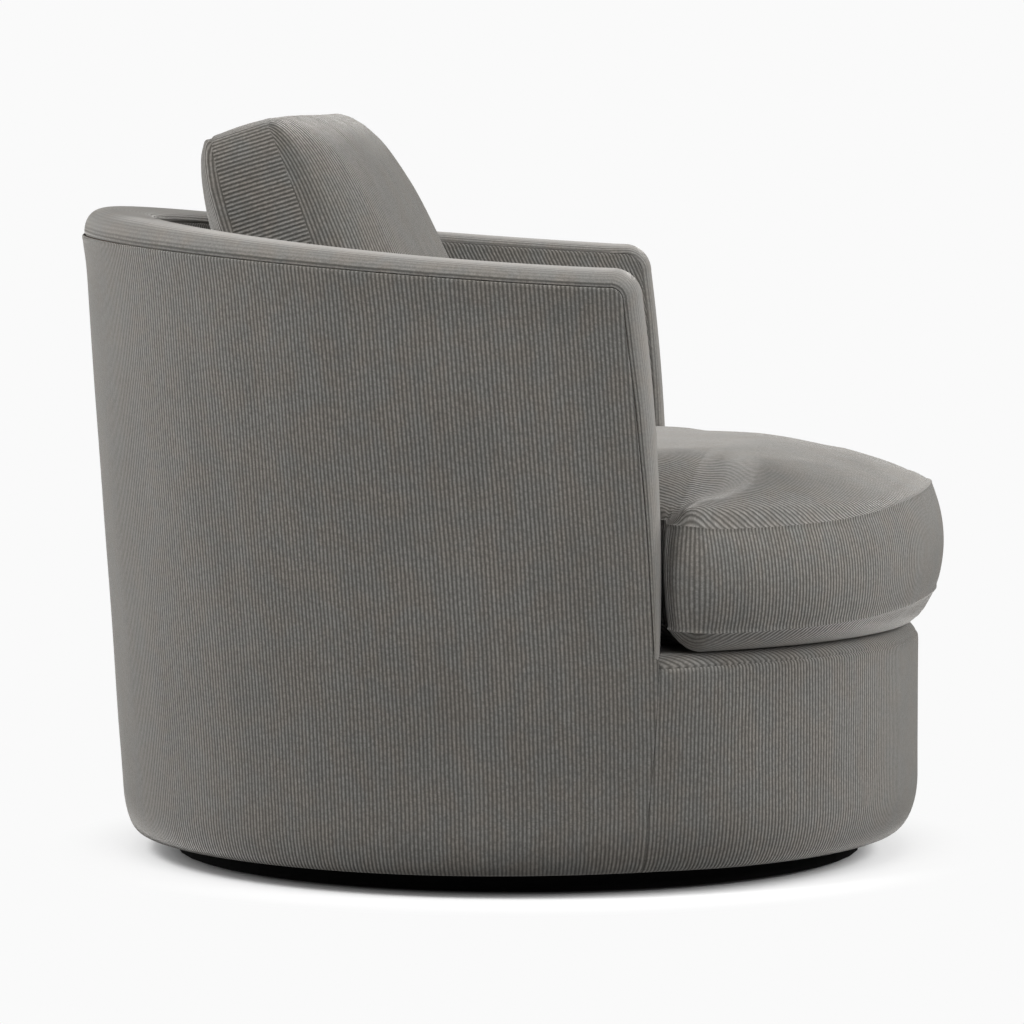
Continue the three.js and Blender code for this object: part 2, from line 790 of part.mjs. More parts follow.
// Plinth and swivel
const screwPlace = plateWidth / 2 - screwInset;
const screwPlaces = [[1, 1], [-1, 1], [-1, -1], [1, -1]].map(([x, y]) => [x * screwPlace, y * screwPlace]);
const race = () =>
  new THREE.TorusGeometry(ballRingRadius, raceRadius, 8, cageFacets).translate(0, 0, ballCentre);
function swivelPlate(low, high) {
  const holes = screwPlaces.map(([x, y]) =>
    rod(screwShank + touch, low - overrun, high + overrun, 8).translate(x, y, 0),
  );
  return cut(
    prism(roundedRectangle(plateWidth, plateWidth, plateCorner), low, high),
    rod(kingpinRadius + 2 * touch, low - overrun, high + overrun, 12),
    race(),
    ...holes,
  );
}
function ballCage() {
  const cage = ring(
    ballRingRadius - cageWidth / 2,
    ballRingRadius + cageWidth / 2,
    ballCentre - cageThickness / 2,
    ballCentre + cageThickness / 2,
    cageFacets,
  );
  const balls = Array.from({ length: ballCount }, (_, i) => {
    const angle = (i * 2 * Math.PI) / ballCount;
    const ball = new THREE.SphereGeometry(ballRadius, 8, 5).rotateX(Math.PI / 2);
    return ball.translate(
      ballRingRadius * Math.cos(angle),
      ballRingRadius * Math.sin(angle),
      ballCentre,
    );
  });
  return join(cage, ...balls);
}
const swivelPin = () =>
  turned(
    [
      [0, lowerPlateLow - touch - kingpinHead],
      [kingpinHeadRadius * 0.8, lowerPlateLow - touch - kingpinHead],
      [kingpinHeadRadius, lowerPlateLow - touch],
      [kingpinRadius, lowerPlateLow - touch],
      [kingpinRadius, upperPlateTop + touch],
      [kingpinHeadRadius, upperPlateTop + touch],
      [kingpinHeadRadius * 0.8, upperPlateTop + touch + kingpinHead],
      [0, upperPlateTop + touch + kingpinHead],
    ],
    12,
  );
const plinthDisc = () =>
  cut(
    ring(plinthDiscHole, plinthRadius - hoopThickness - touch, discLow, discTop, wallFacets),
    ...screwPlaces.map(([x, y]) =>
      rod(screwShank + touch, discLow - overrun, discTop + overrun, 8).translate(x, y, 0),
    ),
    ...glidePlaces.map(([x, y]) =>
      rod(glideStem + touch, discLow - overrun, discLow + glideStemLength + touch, 8).translate(x, y, 0),
    ),
  );
const plinthHoop = () =>
  turned(
    [
      [plinthRadius - hoopThickness, discLow],
      [plinthRadius, discLow],
      [plinthRadius, discLow + hoopHeight - glideHeight / 2],
      [plinthRadius - glideHeight / 2, discLow + hoopHeight],
      [plinthRadius - hoopThickness, discLow + hoopHeight],
    ],
    wallFacets,
  );
const glideRing = plinthRadius - hoopThickness - 2 * glideRadius;
const glidePlaces = Array.from({ length: glideCount }, (_, i) => {
  const angle = ((i + 0.5) * 2 * Math.PI) / glideCount;
  return [glideRing * Math.cos(angle), glideRing * Math.sin(angle)];
});
const glide = () =>
  turned(
    [
      [0, 0],
      [glideRadius - glideHeight / 2, 0],
      [glideRadius, glideHeight / 2],
      [glideRadius, glideHeight],
      [glideStem, glideHeight],
      [glideStem, discLow + glideStemLength],
      [0, discLow + glideStemLength],
    ],
    10,
  );
// A screw with its head at z = 0 and its shank upwards.
const screw = () =>
  turned(
    [
      [0, -screwHead],
      [screwHeadRadius * 0.7, -screwHead],
      [screwHeadRadius, 0],
      [screwShank, 0],
      [screwShank, screwLength],
      [0, screwLength],
    ],
    8,
  );

// Seat cushion
const cushionPlan = lobedPlan({
  rear: cushionRearRadius,
  front: cushionFrontRadius,
  back: armReachSeat + earGap,
  hollow: earInnerRadius,
  corner: earCornerRadius,
  count: { rear: 11, corner: 3, front: 13 },
});
const frontShare = (p) => Math.min(Math.max((p.y - armReachSeat - earGap) / (2 * earCornerRadius), 0), 1);
const cushionMiddle = P2(0, cushionCentre);
function shrunk(plan, share) {
  return plan.map((p) => cushionMiddle.clone().lerp(p, share));
}
function seatCushion() {
  const band = (share, z) => {
    const swell = Math.sin(share * Math.PI);
    const amount = (p) => swell * mix(cushionRearBulge, cushionBulge, frontShare(p));
    return atHeight(offsetPlan(cushionPlan, amount), z);
  };
  const crown = (share) =>
    shrunk(cushionPlan, share).map((p) => {
      const depth = Math.min(edgeDistance(cushionPlan, p) / cushionCrownReach, 1);
      const lift = cushionCrown * (1 - (1 - depth) ** cushionCrownPower);
      return P3(p.x, -p.y, cushionBandTop + lift);
    });
  const under = offsetPlan(cushionPlan, () => -earInnerRadius);
  const rings = [
    atHeight(shrunk(under, 0.5), deckHeight + touch),
    atHeight(shrunk(under, 0.93), deckHeight + touch),
    ...steps(0, 1, 4).map((share) => band(share, mix(cushionBandBottom, cushionBandTop, share))),
    ...[0.92, 0.8, 0.6, 0.4, 0.2].map(crown),
  ];
  const middle = P3(0, -cushionCentre, cushionBandTop + cushionCrown);
  return pouch(P3(0, -cushionCentre, deckHeight + touch), rings, middle);
}

// Back pillow, in its own frame: x across, y front to back, z up, before it is leant and turned.
function pillowBody() {
  const columns = steps(-1, 1, 12);
  const rows = steps(-1, 1, 10);
  const thick = (x, z) => {
    const corner = (Math.abs(x) * Math.abs(z)) ** pillowPower;
    return mix(pillowBorder, pillowBorderCorner, corner) / 2;
  };
  const spot = (x, z, side) => {
    const across = (pillowWidth / 2) * x * (1 - pillowPullShare * (1 - z * z));
    const up = (pillowHeight / 2) * z * (1 - pillowPullShare * (1 - x * x));
    const swell = (1 - Math.abs(x) ** pillowPower) * (1 - Math.abs(z) ** pillowPower);
    const bulge = side < 0 ? pillowFrontBulge : pillowBackBulge;
    return P3(across, side * (thick(x, z) + bulge * Math.sqrt(swell)), up);
  };
  const points = [];
  const faces = [];
  const at = (side, i, j) => (side < 0 ? 0 : columns.length * rows.length) + j * columns.length + i;
  for (const side of [-1, 1]) {
    rows.forEach((z) => columns.forEach((x) => points.push(spot(x, z, side))));
    for (let j = 0; j < rows.length - 1; j++) {
      for (let i = 0; i < columns.length - 1; i++) {
        const quad = [at(side, i, j), at(side, i + 1, j), at(side, i + 1, j + 1), at(side, i, j + 1)];
        const [a, b, c, d] = side < 0 ? quad : quad.reverse();
        faces.push([a, b, c], [a, c, d]);
      }
    }
  }
  const last = columns.length - 1;
  const top = rows.length - 1;
  const edge = [
    ...columns.slice(0, -1).map((_, i) => [i, 0]),
    ...rows.slice(0, -1).map((_, j) => [last, j]),
    ...columns.slice(0, -1).map((_, i) => [last - i, top]),
    ...rows.slice(0, -1).map((_, j) => [0, top - j]),
  ];
  edge.forEach(([i, j], k) => {
    const [m, n] = edge[(k + 1) % edge.length];
    const quad = [at(-1, i, j), at(1, i, j), at(1, m, n), at(-1, m, n)];
    faces.push([quad[0], quad[1], quad[2]], [quad[0], quad[2], quad[3]]);
  });
  return geometryOf(points, faces);
}
const pillowTilt = new THREE.Matrix4()
  .makeTranslation(0, pillowSetBack, pillowTopHeight - pillowRise())
  .multiply(new THREE.Matrix4().makeRotationZ(-pillowTurn))
  .multiply(new THREE.Matrix4().makeRotationX(-pillowLean));
function pillowRise() {
  return (pillowHeight / 2) * Math.cos(pillowLean) + (pillowBorderCorner / 2) * Math.sin(pillowLean);
}
const backPillow = () =>
  cut(pillowBody().applyMatrix4(pillowTilt), seatCushion().translate(0, 0, touch));

// Assembly

const chair = new THREE.Group();
chair.name = "swivel_barrel_chair";

function add(name, finish, geometry, place = [0, 0, 0], turn = 0) {
  const mesh = new THREE.Mesh(geometry, finishes[finish]);
  mesh.name = name;
  mesh.position.set(...place);
  mesh.rotation.x = turn;
  chair.add(mesh);
}

add("plinth_hoop", "plinth_black", plinthHoop());
add("plinth_disc", "plywood", plinthDisc());
glidePlaces.forEach(([x, y], i) => add(`glide_${i + 1}`, "nylon", glide(), [x, y, 0]));
add("swivel_lower_plate", "zinc_steel", swivelPlate(lowerPlateLow, lowerPlateTop));
add("swivel_upper_plate", "zinc_steel", swivelPlate(upperPlateLow, upperPlateTop));
add("ball_cage", "zinc_steel", ballCage());
add("swivel_pin", "zinc_steel", swivelPin());
screwPlaces.forEach(([x, y], i) => {
  add(`lower_screw_${i + 1}`, "zinc_steel", screw(), [x, y, lowerPlateTop + touch], Math.PI);
  add(`upper_screw_${i + 1}`, "zinc_steel", screw(), [x, y, upperPlateLow - touch]);
});
add("bottom_board", "plywood", bottomBoard());
add("dust_cover", "dust_cloth", dustCover());
spread(uprightCount, uprightTurn).forEach((angle, i) => add(`upright_${i + 1}`, "plywood", upright(angle)));
add("arm_post_left", "plywood", armPost(-1));
add("arm_post_right", "plywood", armPost(1));
spread(frontPostCount, frontPostTurn).forEach((angle, i) =>
  add(`front_post_${i + 1}`, "plywood", frontPost(angle)),
);
add("seat_board", "plywood", seatBoard());
add("mid_rail", "plywood", midRail());
add("top_rail", "plywood", topRail());
springPlaces.forEach((x, i) => add(`seat_spring_${i + 1}`, "spring_wire", seatSpring(x)));
add("spring_clips_front", "zinc_steel", clipStrip(-1));
add("spring_clips_rear", "zinc_steel", clipStrip(1));
add("deck_pad", "foam", deckPad());
add("edge_foam", "foam", edgeFoam());
add("outer_skin", "hardboard", outerSkin());
add("front_skin", "hardboard", frontSkin());
add("inner_foam", "foam", innerFoam());
add("rim_foam", "foam", rimFoam());
add("outer_cover", "rib_fabric", outerCover());
add("inner_cover", "rib_fabric", innerCover());
add("rim_band", "rib_fabric", rimBand());
add("base_front_cover", "rib_fabric", baseFrontCover());
add("deck_cover", "rib_fabric", deckCover());
add("seat_cushion", "rib_fabric", seatCushion());
add("back_pillow", "rib_fabric", backPillow());

export default chair;
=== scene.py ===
import math

import bpy
import numpy as np
from mathutils import Matrix, Vector
from mathutils.bvhtree import BVHTree


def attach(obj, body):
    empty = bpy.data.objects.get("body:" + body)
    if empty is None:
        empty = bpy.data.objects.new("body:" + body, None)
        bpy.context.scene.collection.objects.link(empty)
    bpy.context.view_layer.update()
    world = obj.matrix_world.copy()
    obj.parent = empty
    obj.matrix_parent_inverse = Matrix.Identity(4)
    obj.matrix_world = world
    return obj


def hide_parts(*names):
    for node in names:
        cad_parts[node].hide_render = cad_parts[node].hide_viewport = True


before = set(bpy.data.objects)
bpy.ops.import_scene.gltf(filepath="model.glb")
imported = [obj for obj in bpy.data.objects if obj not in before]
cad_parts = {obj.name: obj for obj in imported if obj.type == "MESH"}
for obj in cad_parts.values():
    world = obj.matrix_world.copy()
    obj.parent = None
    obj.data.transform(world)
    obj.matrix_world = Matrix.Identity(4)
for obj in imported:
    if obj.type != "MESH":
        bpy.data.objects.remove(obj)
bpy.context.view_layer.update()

scene = bpy.context.scene
mm = 0.001


# Shapes are worked out in millimetres. Depth is measured into the wall from its outer face, and reach is how
# far a point stands ahead of the swivel axis.

def mix(a, b, share):
    return a + (b - a) * share


def ease(low, high, value):
    share = np.clip((np.asarray(value, float) - low) / (high - low), 0, 1)
    return share * share * (3 - 2 * share)


def throughThree(points, x):
    return np.polyval(np.polyfit(*zip(*points), 2), x)


# Smooth noise, mostly from -1 to 1, made of a few dozen plane waves
def softNoise(points, size, seed, octaves=2, waveCount=18):
    made = np.random.default_rng(seed)
    total = np.zeros(points.shape[:-1])
    for octave in range(octaves):
        waves = made.normal(size=(waveCount, points.shape[-1])) * (2 ** octave) * 2 / size
        phases = made.uniform(0, 2 * np.pi, waveCount)
        total += np.sin(points @ waves.T + phases).sum(-1) / waveCount ** 0.5 / (2 ** octave)
    return total


# A mesh from points in millimetres. cloth gives each point's place in the flat fabric, and clear says how plainly
# its ribs show, from 0 to 1; where they show less, the colour is lifted towards the rib tops as a painted
# highlight
def meshPiece(name, points, faces, cloth=None, material=None, clear=1.0):
    mesh = bpy.data.meshes.new(name)
    points = np.asarray(points, float).reshape(-1, 3)
    mesh.from_pydata((points * mm).tolist(), [], [list(map(int, f)) for f in faces])
    if cloth is not None:
        layer = mesh.uv_layers.new(name="cloth")
        corners = np.zeros(len(mesh.loops), int)
        mesh.loops.foreach_get("vertex_index", corners)
        layer.data.foreach_set("uv", (np.asarray(cloth, float).reshape(-1, 2)[corners] * mm).ravel())
        shown = mesh.attributes.new("clear", "FLOAT", "POINT")
        shown.data.foreach_set("value", np.broadcast_to(np.asarray(clear, np.float32).ravel(), len(points)))
    mesh.shade_smooth()
    piece = bpy.data.objects.new(name, mesh)
    scene.collection.objects.link(piece)
    if material:
        mesh.materials.append(material)
    return piece


def gridFaces(rows, columns, start=0, flip=False):
    faces = []
    for i in range(rows - 1):
        for j in range(columns - 1):
            a = start + i * columns + j
            quad = (a, a + 1, a + 1 + columns, a + columns)
            faces.append(quad[::-1] if flip else quad)
    return faces


# Running length of a line of points
def along(points):
    steps = np.linalg.norm(np.diff(points, axis=0), axis=-1)
    return np.concatenate([[0], np.cumsum(steps)])


# Points at turns round the swivel axis, from the middle of the back, and at radii and heights
def roundPoint(turn, radius, z):
    turn, radius, z = np.broadcast_arrays(turn, radius, z)
    return np.stack([radius * np.sin(turn), -radius * np.cos(turn), z], -1)


def resampled(line, shares):
    length = along(line)
    places = np.asarray(shares) * length[-1]
    return np.stack([np.interp(places, length, line[:, k]) for k in range(line.shape[1])], -1)


# Distance of flat points to a line made of short pieces
def lineDistance(points, line):
    flat = points.reshape(-1, 2)
    best = np.full(len(flat), 1e9)
    for a, b in zip(line[:-1], line[1:]):
        side = b - a
        share = np.clip(((flat - a) @ side) / max(side @ side, 1e-9), 0, 1)
        best = np.minimum(best, np.linalg.norm(flat - a - share[:, None] * side, axis=1))
    return best.reshape(points.shape[:-1])


# Camera, fitted to the photograph
print("camera")
view = {"place": (-5.797, -0.2006, 0.8004), "yaw": 0.0346, "pitch": 0.0776, "lens": 196.7, "shift": -0.00605}
cameraData = bpy.data.cameras.new("camera")
camera = bpy.data.objects.new("camera", cameraData)
scene.collection.objects.link(camera)
camera.location = view["place"]
lookAlong = Vector((
    math.cos(view["yaw"]) * math.cos(view["pitch"]),
    math.sin(view["yaw"]) * math.cos(view["pitch"]),
    -math.sin(view["pitch"]),
))
camera.rotation_mode = "QUATERNION"
camera.rotation_quaternion = lookAlong.to_track_quat("-Z", "Y")
cameraData.lens = view["lens"]
cameraData.sensor_width = 36
cameraData.shift_x = view["shift"]
cameraData.clip_end = 100
scene.camera = camera
scene.view_settings.view_transform = "Standard"


# Light: a key from behind the near arm, which throws that arm's shadow on the seat, soft boxes overhead and
# beyond both ends, and a dim pale room
print("light")
softBoxes = {
    "key": {"place": (-2.2, 2.2, 3.0), "target": (0, 0, 0.3), "size": (1.3, 1.3), "power": 122},
    "overhead": {"place": (-2.5, 0.0, 3.2), "target": (0, 0, 0.3), "size": (2.5, 2.0), "power": 46},
    "frontNear": {"place": (-1.5, -2.9, 1.8), "target": (0, 0, 0.4), "size": (1.6, 1.6), "power": 80},
    "frontFar": {"place": (0.9, -2.9, 1.8), "target": (0, 0, 0.4), "size": (2.0, 1.6), "power": 76},
    "backNear": {"place": (-1.5, 2.9, 1.2), "target": (0, 0, 0.4), "size": (1.6, 1.6), "power": 8},
    "backFar": {"place": (0.9, 3.0, 1.3), "target": (0, 0, 0.4), "size": (2.0, 2.4), "power": 36},
}
for name, box in softBoxes.items():
    lamp = bpy.data.lights.new(name, "AREA")
    lamp.shape = "RECTANGLE"
    lamp.size, lamp.size_y = box["size"]
    lamp.energy = box["power"]
    holder = bpy.data.objects.new(name, lamp)
    holder.location = box["place"]
    aim = Vector(box["target"]) - Vector(box["place"])
    holder.rotation_mode = "QUATERNION"
    holder.rotation_quaternion = aim.to_track_quat("-Z", "Y")
    scene.collection.objects.link(holder)


# Short calls for building a node tree. An input is given by its name, or by its number as i0, i1 and so on.
class Nodes:
    def __init__(self, tree):
        self.tree = tree
        tree.nodes.clear()

    def add(self, kind, settings=(), **inputs):
        node = self.tree.nodes.new(kind)
        for key, value in dict(settings).items():
            setattr(node, key, value)
        for key, value in inputs.items():
            numbered = key[0] == "i" and key[1:].isdigit()
            self.feed(node.inputs[int(key[1:]) if numbered else key], value)
        return node

    def feed(self, socket, value):
        if isinstance(value, bpy.types.NodeSocket):
            self.tree.links.new(value, socket)
        else:
            socket.default_value = value

    def sum(self, kind, a, b=0.5, c=0.5, clamp=False):
        node = self.add("ShaderNodeMath", {"operation": kind, "use_clamp": clamp}, i0=a, i1=b, i2=c)
        return node.outputs[0]

    def blend(self, share, a, b, kind="MIX"):
        node = self.add("ShaderNodeMix", {"data_type": "RGBA", "blend_type": kind}, i0=share, i6=a, i7=b)
        return node.outputs[2]

    def ramp(self, value, low, high, out=(0.0, 1.0)):
        smooth = {"interpolation_type": "SMOOTHSTEP"}
        node = self.add("ShaderNodeMapRange", smooth, i0=value, i1=low, i2=high, i3=out[0], i4=out[1])
        return node.outputs[0]

    def noise(self, place, scale, detail=2.0, dimensions="3D"):
        flat = {"noise_dimensions": dimensions}
        return self.add("ShaderNodeTexNoise", flat, Vector=place, Scale=scale, Detail=detail).outputs["Fac"]


def newMaterial(name, look):
    material = bpy.data.materials.new(name)
    material.use_nodes = True
    nodes = Nodes(material.node_tree)
    surface = nodes.add("ShaderNodeBsdfPrincipled")
    for key, value in look.items():
        surface.inputs[key].default_value = value
    nodes.add("ShaderNodeOutputMaterial", i0=surface.outputs[0])
    return material, nodes, surface


backdropWhite = (0.956, 0.956, 0.956, 1)
roomGlow = 0.08
world = bpy.data.worlds.new("room")
scene.world = world
world.use_nodes = True
room = Nodes(world.node_tree)
roomLight = room.add("ShaderNodeBackground", Color=(1, 1, 1, 1), Strength=roomGlow)
roomSeen = room.add("ShaderNodeBackground", Color=backdropWhite, Strength=1.0)
rays = room.add("ShaderNodeLightPath")
seen = room.sum("ADD", rays.outputs["Is Camera Ray"], rays.outputs["Is Transmission Ray"], clamp=True)
roomMix = room.add("ShaderNodeMixShader", i0=seen, i1=roomLight.outputs[0], i2=roomSeen.outputs[0])
room.add("ShaderNodeOutputWorld", i0=roomMix.outputs[0])


# Floor: plain near the chair, where it takes the shadow, and the backdrop's own white further out
print("floor")
floorLook = {"albedo": 0.92, "bounce": 0.3, "nearRadius": 0.33, "farRadius": 0.50, "half": 30}


def layFloor():
    half = floorLook["half"]
    corners = [(-half, -half, 0), (half, -half, 0), (half, half, 0), (-half, half, 0)]
    floor = meshPiece("floor", np.array(corners) / mm, [(0, 1, 2, 3)])
    material, nodes, surface = newMaterial("floor", {"Roughness": 1.0, "Specular IOR Level": 0.0})
    place = nodes.add("ShaderNodeTexCoord").outputs["Object"]
    far = nodes.add("ShaderNodeVectorMath", {"operation": "LENGTH"}, i0=place).outputs["Value"]
    fade = nodes.ramp(far, floorLook["nearRadius"], floorLook["farRadius"])
    ray = nodes.add("ShaderNodeLightPath")
    pale, dull = ((floorLook[k],) * 3 + (1,) for k in ("albedo", "bounce"))
    nodes.feed(surface.inputs["Base Color"], nodes.blend(ray.outputs["Is Camera Ray"], dull, pale))
    shown = nodes.sum("MULTIPLY", fade, ray.outputs["Is Camera Ray"])
    glow = nodes.add("ShaderNodeEmission", Color=backdropWhite)
    both = nodes.add("ShaderNodeMixShader", i0=shown, i1=surface.outputs[0], i2=glow.outputs[0])
    nodes.feed(nodes.tree.nodes["Material Output"].inputs[0], both.outputs[0])
    floor.data.materials.append(material)


layFloor()


# Ribbed fabric. The cloth layer holds metres: its first axis runs across the ribs and its second along them.
print("fabric")
ribs = {
    "pitch": 0.00416,
    "light": (0.186, 0.179, 0.168, 1),
    # The groove colour is partly the yarn's own darker tone and partly painted shade in the grooves, which the
    # bump alone leaves unshaded
    "groove": (0.073, 0.070, 0.064, 1),
    "warm": (1.03, 0.998, 0.965, 1),
    "cool": (0.985, 1.0, 1.005, 1),
    "relief": 0.0007,
    "bead": 0.0040,
    "drift": (14.0, 0.0012),  # noise scale, and how far it moves the ribs sideways in metres
    "wobble": (190.0, 0.0007),
    "yarn": 700.0,
    "nub": 300.0,
    "surface": {
        "Roughness": 0.95, "Specular IOR Level": 0.15, "Sheen Weight": 0.52, "Sheen Roughness": 0.4,
        "Sheen Tint": (1.0, 0.97, 0.93, 1),
    },
}


def ribFabric():
    material, nodes, surface = newMaterial("rib fabric", ribs["surface"])
    cloth = nodes.add("ShaderNodeUVMap", {"uv_map": "cloth"}).outputs[0]
    split = nodes.add("ShaderNodeSeparateXYZ", i0=cloth)
    across, down = split.outputs[0], split.outputs[1]
    for scale, far in (ribs["drift"], ribs["wobble"]):
        sway = nodes.sum("SUBTRACT", nodes.noise(cloth, scale, 1.0, dimensions="2D"), 0.5)
        across = nodes.sum("MULTIPLY_ADD", sway, far, across)
    count = nodes.sum("DIVIDE", across, ribs["pitch"])
    rib = nodes.sum("FLOOR", count)
    wave = nodes.sum("COSINE", nodes.sum("MULTIPLY", count, 2 * math.pi))
    height = nodes.sum("MULTIPLY_ADD", wave, -0.5, 0.5)
    row, step = nodes.sum("MULTIPLY", rib, 7.31), nodes.sum("DIVIDE", down, ribs["bead"])
    knots = nodes.add("ShaderNodeCombineXYZ", i0=row, i1=step)
    bead = nodes.noise(knots.outputs[0], 1.0, 1.0, dimensions="2D")
    yarn = nodes.noise(cloth, ribs["yarn"], 2.0, dimensions="2D")
    tone = nodes.add("ShaderNodeTexWhiteNoise", {"noise_dimensions": "1D"}, W=rib).outputs["Value"]
    clear = nodes.add("ShaderNodeAttribute", {"attribute_name": "clear"}).outputs["Fac"]
    lit = nodes.sum("MULTIPLY", height, nodes.ramp(bead, 0.25, 0.75, (0.68, 1.16)))
    # Where the ribs show less, the colour is lifted to 0.9 of the way to the rib tops: a painted highlight on
    # faces turned up and along the rim's crest
    highlightShare = nodes.sum("SUBTRACT", 1.0, clear)
    lit = nodes.sum("MULTIPLY_ADD", highlightShare, 0.9, nodes.sum("MULTIPLY", lit, clear))
    # Rib tops against grooves: the grooves' darkness is partly painted shade
    color = nodes.blend(lit, ribs["groove"], ribs["light"])
    place = nodes.add("ShaderNodeTexCoord").outputs["Object"]
    patches = nodes.ramp(nodes.noise(place, 9.0, 3.0), 0.3, 0.7, (0.95, 1.02))
    level = nodes.sum("ADD", nodes.sum("MULTIPLY", tone, 0.05), patches)
    level = nodes.sum("MULTIPLY", level, nodes.ramp(yarn, 0.2, 0.8, (0.86, 1.12)))
    nub = nodes.noise(cloth, ribs["nub"], 2.0, dimensions="2D")
    level = nodes.sum("MULTIPLY", level, nodes.ramp(nub, 0.3, 0.7, (0.93, 1.06)))
    shade = nodes.add("ShaderNodeCombineColor", i0=level, i1=level, i2=level).outputs[0]
    color = nodes.blend(1.0, color, shade, "MULTIPLY")
    hue = nodes.blend(nodes.ramp(nodes.noise(place, 34.0, 2.0), 0.35, 0.65), ribs["warm"], ribs["cool"])
    color = nodes.blend(1.0, color, hue, "MULTIPLY")
    nodes.feed(surface.inputs["Base Color"], color)
    raised = nodes.sum("MULTIPLY", height, nodes.ramp(bead, 0.2, 0.8, (0.85, 1.0)))
    relief = nodes.sum("ADD", raised, nodes.sum("MULTIPLY", yarn, 0.08))
    bump = nodes.add("ShaderNodeBump", Strength=clear, Distance=ribs["relief"], Height=relief)
    nodes.feed(surface.inputs["Normal"], bump.outputs[0])
    return material


fabric = ribFabric()


# Finishes of the frame, the swivel and the plinth. Grain is the noise's scale along x, y and z.
print("frame")
finishes = {
    "plinthBlack": {
        "nodes": ("plinth_hoop",), "color": (0.0025, 0.0025, 0.0025), "vary": 0.3, "grain": (60, 60, 300),
        "roughness": 0.8, "metallic": 0.0, "relief": 0.0001, "specular": 0.1,
    },
    "plywood": {
        "nodes": (
            "plinth_disc", "bottom_board", "upright", "arm_post", "front_post", "seat_board", "mid_rail",
            "top_rail",
        ),
        "color": (0.56, 0.38, 0.20), "vary": 0.35, "grain": (90, 12, 420), "roughness": 0.75, "metallic": 0.0,
        "relief": 0.0002,
    },
    "hardboard": {
        "nodes": ("outer_skin", "front_skin"), "color": (0.19, 0.10, 0.045), "vary": 0.3, "grain": (500, 500, 500),
        "roughness": 0.85, "metallic": 0.0, "relief": 0.0001,
    },
    "foam": {
        "nodes": ("deck_pad", "edge_foam", "inner_foam", "rim_foam"), "color": (0.78, 0.74, 0.62), "vary": 0.12,
        "grain": (700, 700, 700), "roughness": 1.0, "metallic": 0.0, "relief": 0.0006,
    },
    "zincSteel": {
        "nodes": ("swivel", "ball_cage", "lower_screw", "upper_screw", "spring_clips"),
        "color": (0.55, 0.56, 0.57), "vary": 0.15, "grain": (120, 120, 120), "roughness": 0.38, "metallic": 1.0,
        "relief": 0.00005,
    },
    "springWire": {
        "nodes": ("seat_spring",), "color": (0.05, 0.05, 0.055), "vary": 0.3, "grain": (150, 150, 150),
        "roughness": 0.45, "metallic": 1.0, "relief": 0.00005,
    },
    "nylon": {
        "nodes": ("glide",), "color": (0.012, 0.012, 0.012), "vary": 0.1, "grain": (300, 300, 300),
        "roughness": 0.5, "metallic": 0.0, "relief": 0.00005,
    },
    "dustCloth": {
        "nodes": ("dust_cover",), "color": (0.007, 0.007, 0.007), "vary": 0.4, "grain": (900, 900, 900),
        "roughness": 1.0, "metallic": 0.0, "relief": 0.0002,
    },
}


def plainFinish(name, look):
    material, nodes, surface = newMaterial(name, {
        "Roughness": look["roughness"],
        "Metallic": look["metallic"],
        "Specular IOR Level": look.get("specular", 0.3),
    })
    place = nodes.add("ShaderNodeTexCoord").outputs["Object"]
    grain = nodes.add("ShaderNodeVectorMath", {"operation": "MULTIPLY"}, i0=place, i1=look["grain"]).outputs[0]
    streak = nodes.noise(grain, 1.0, 3.0)
    low = tuple(c * (1 - look["vary"]) for c in look["color"]) + (1,)
    high = tuple(min(c * (1 + look["vary"]), 1) for c in look["color"]) + (1,)
    nodes.feed(surface.inputs["Base Color"], nodes.blend(nodes.ramp(streak, 0.3, 0.7), low, high))
    bump = nodes.add("ShaderNodeBump", Distance=look["relief"], Height=streak)
    nodes.feed(surface.inputs["Normal"], bump.outputs[0])
    return material


for name, look in finishes.items():
    finish = plainFinish(name, look)
    for node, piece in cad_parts.items():
        if node.startswith(look["nodes"]):
            piece.data.materials.clear()
            piece.data.materials.append(finish)


# Puts a fabric piece on its body, in place of the plain nodes that it covers
def dress(piece, body, *nodes):
    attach(piece, body)
    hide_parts(*nodes)
    return piece


# Wall of the shell
print("wall")
wall = {
    "foot": 23.6, "footRadius": 408.3, "topRadius": 449.8, "topHeight": 665.0, "thickness": 78.0,
    "crest": [(151, 614), (0, 622), (-413, 665)],  # reach and height
    "front": [(23.6, 133), (370, 151), (614, 130)],  # height and reach
    "corner": 30.0, "cornerStart": 100.0, "deck": 240.0, "panelFoot": 80.0, "innerDrop": 10.0,
}
stations = {"front": 90, "corner": 25, "rim": 150}
cornerStation = stations["rim"] + stations["corner"] // 2  # the corner's middle, counted from the back


def shellRadius(z):
    return mix(wall["footRadius"], wall["topRadius"], (z - wall["foot"]) / (wall["topHeight"] - wall["foot"]))


def crestHeight(reach):
    return throughThree(wall["crest"], reach)


def frontReach(z):
    return throughThree(wall["front"], z)


cornerLow = float(crestHeight(wall["cornerStart"])) - wall["corner"]
cornerReach = wall["cornerStart"] + float(frontReach(cornerLow)) - wall["front"][-1][1]


# Stations of the wall's free edge from the deck up one arm, round its corner and back to the middle
def freeEdge():
    corner = wall["corner"]
    heights = np.linspace(wall["deck"] - 4, cornerLow, stations["front"])
    front = [(frontReach(z), z, 1.0, 0.0, math.nan) for z in heights]
    turn = [
        (cornerReach + corner * math.cos(a), cornerLow + corner * math.sin(a), math.cos(a), math.sin(a), math.nan)
        for a in np.linspace(0, math.pi / 2, stations["corner"])
    ][1:]
    start = math.acos(-cornerReach / float(shellRadius(cornerLow + corner)))
    crest = [(0, 0, 0.0, 1.0, angle) for angle in np.linspace(start, 0, stations["rim"])][1:]
    return np.array(front + turn + crest)


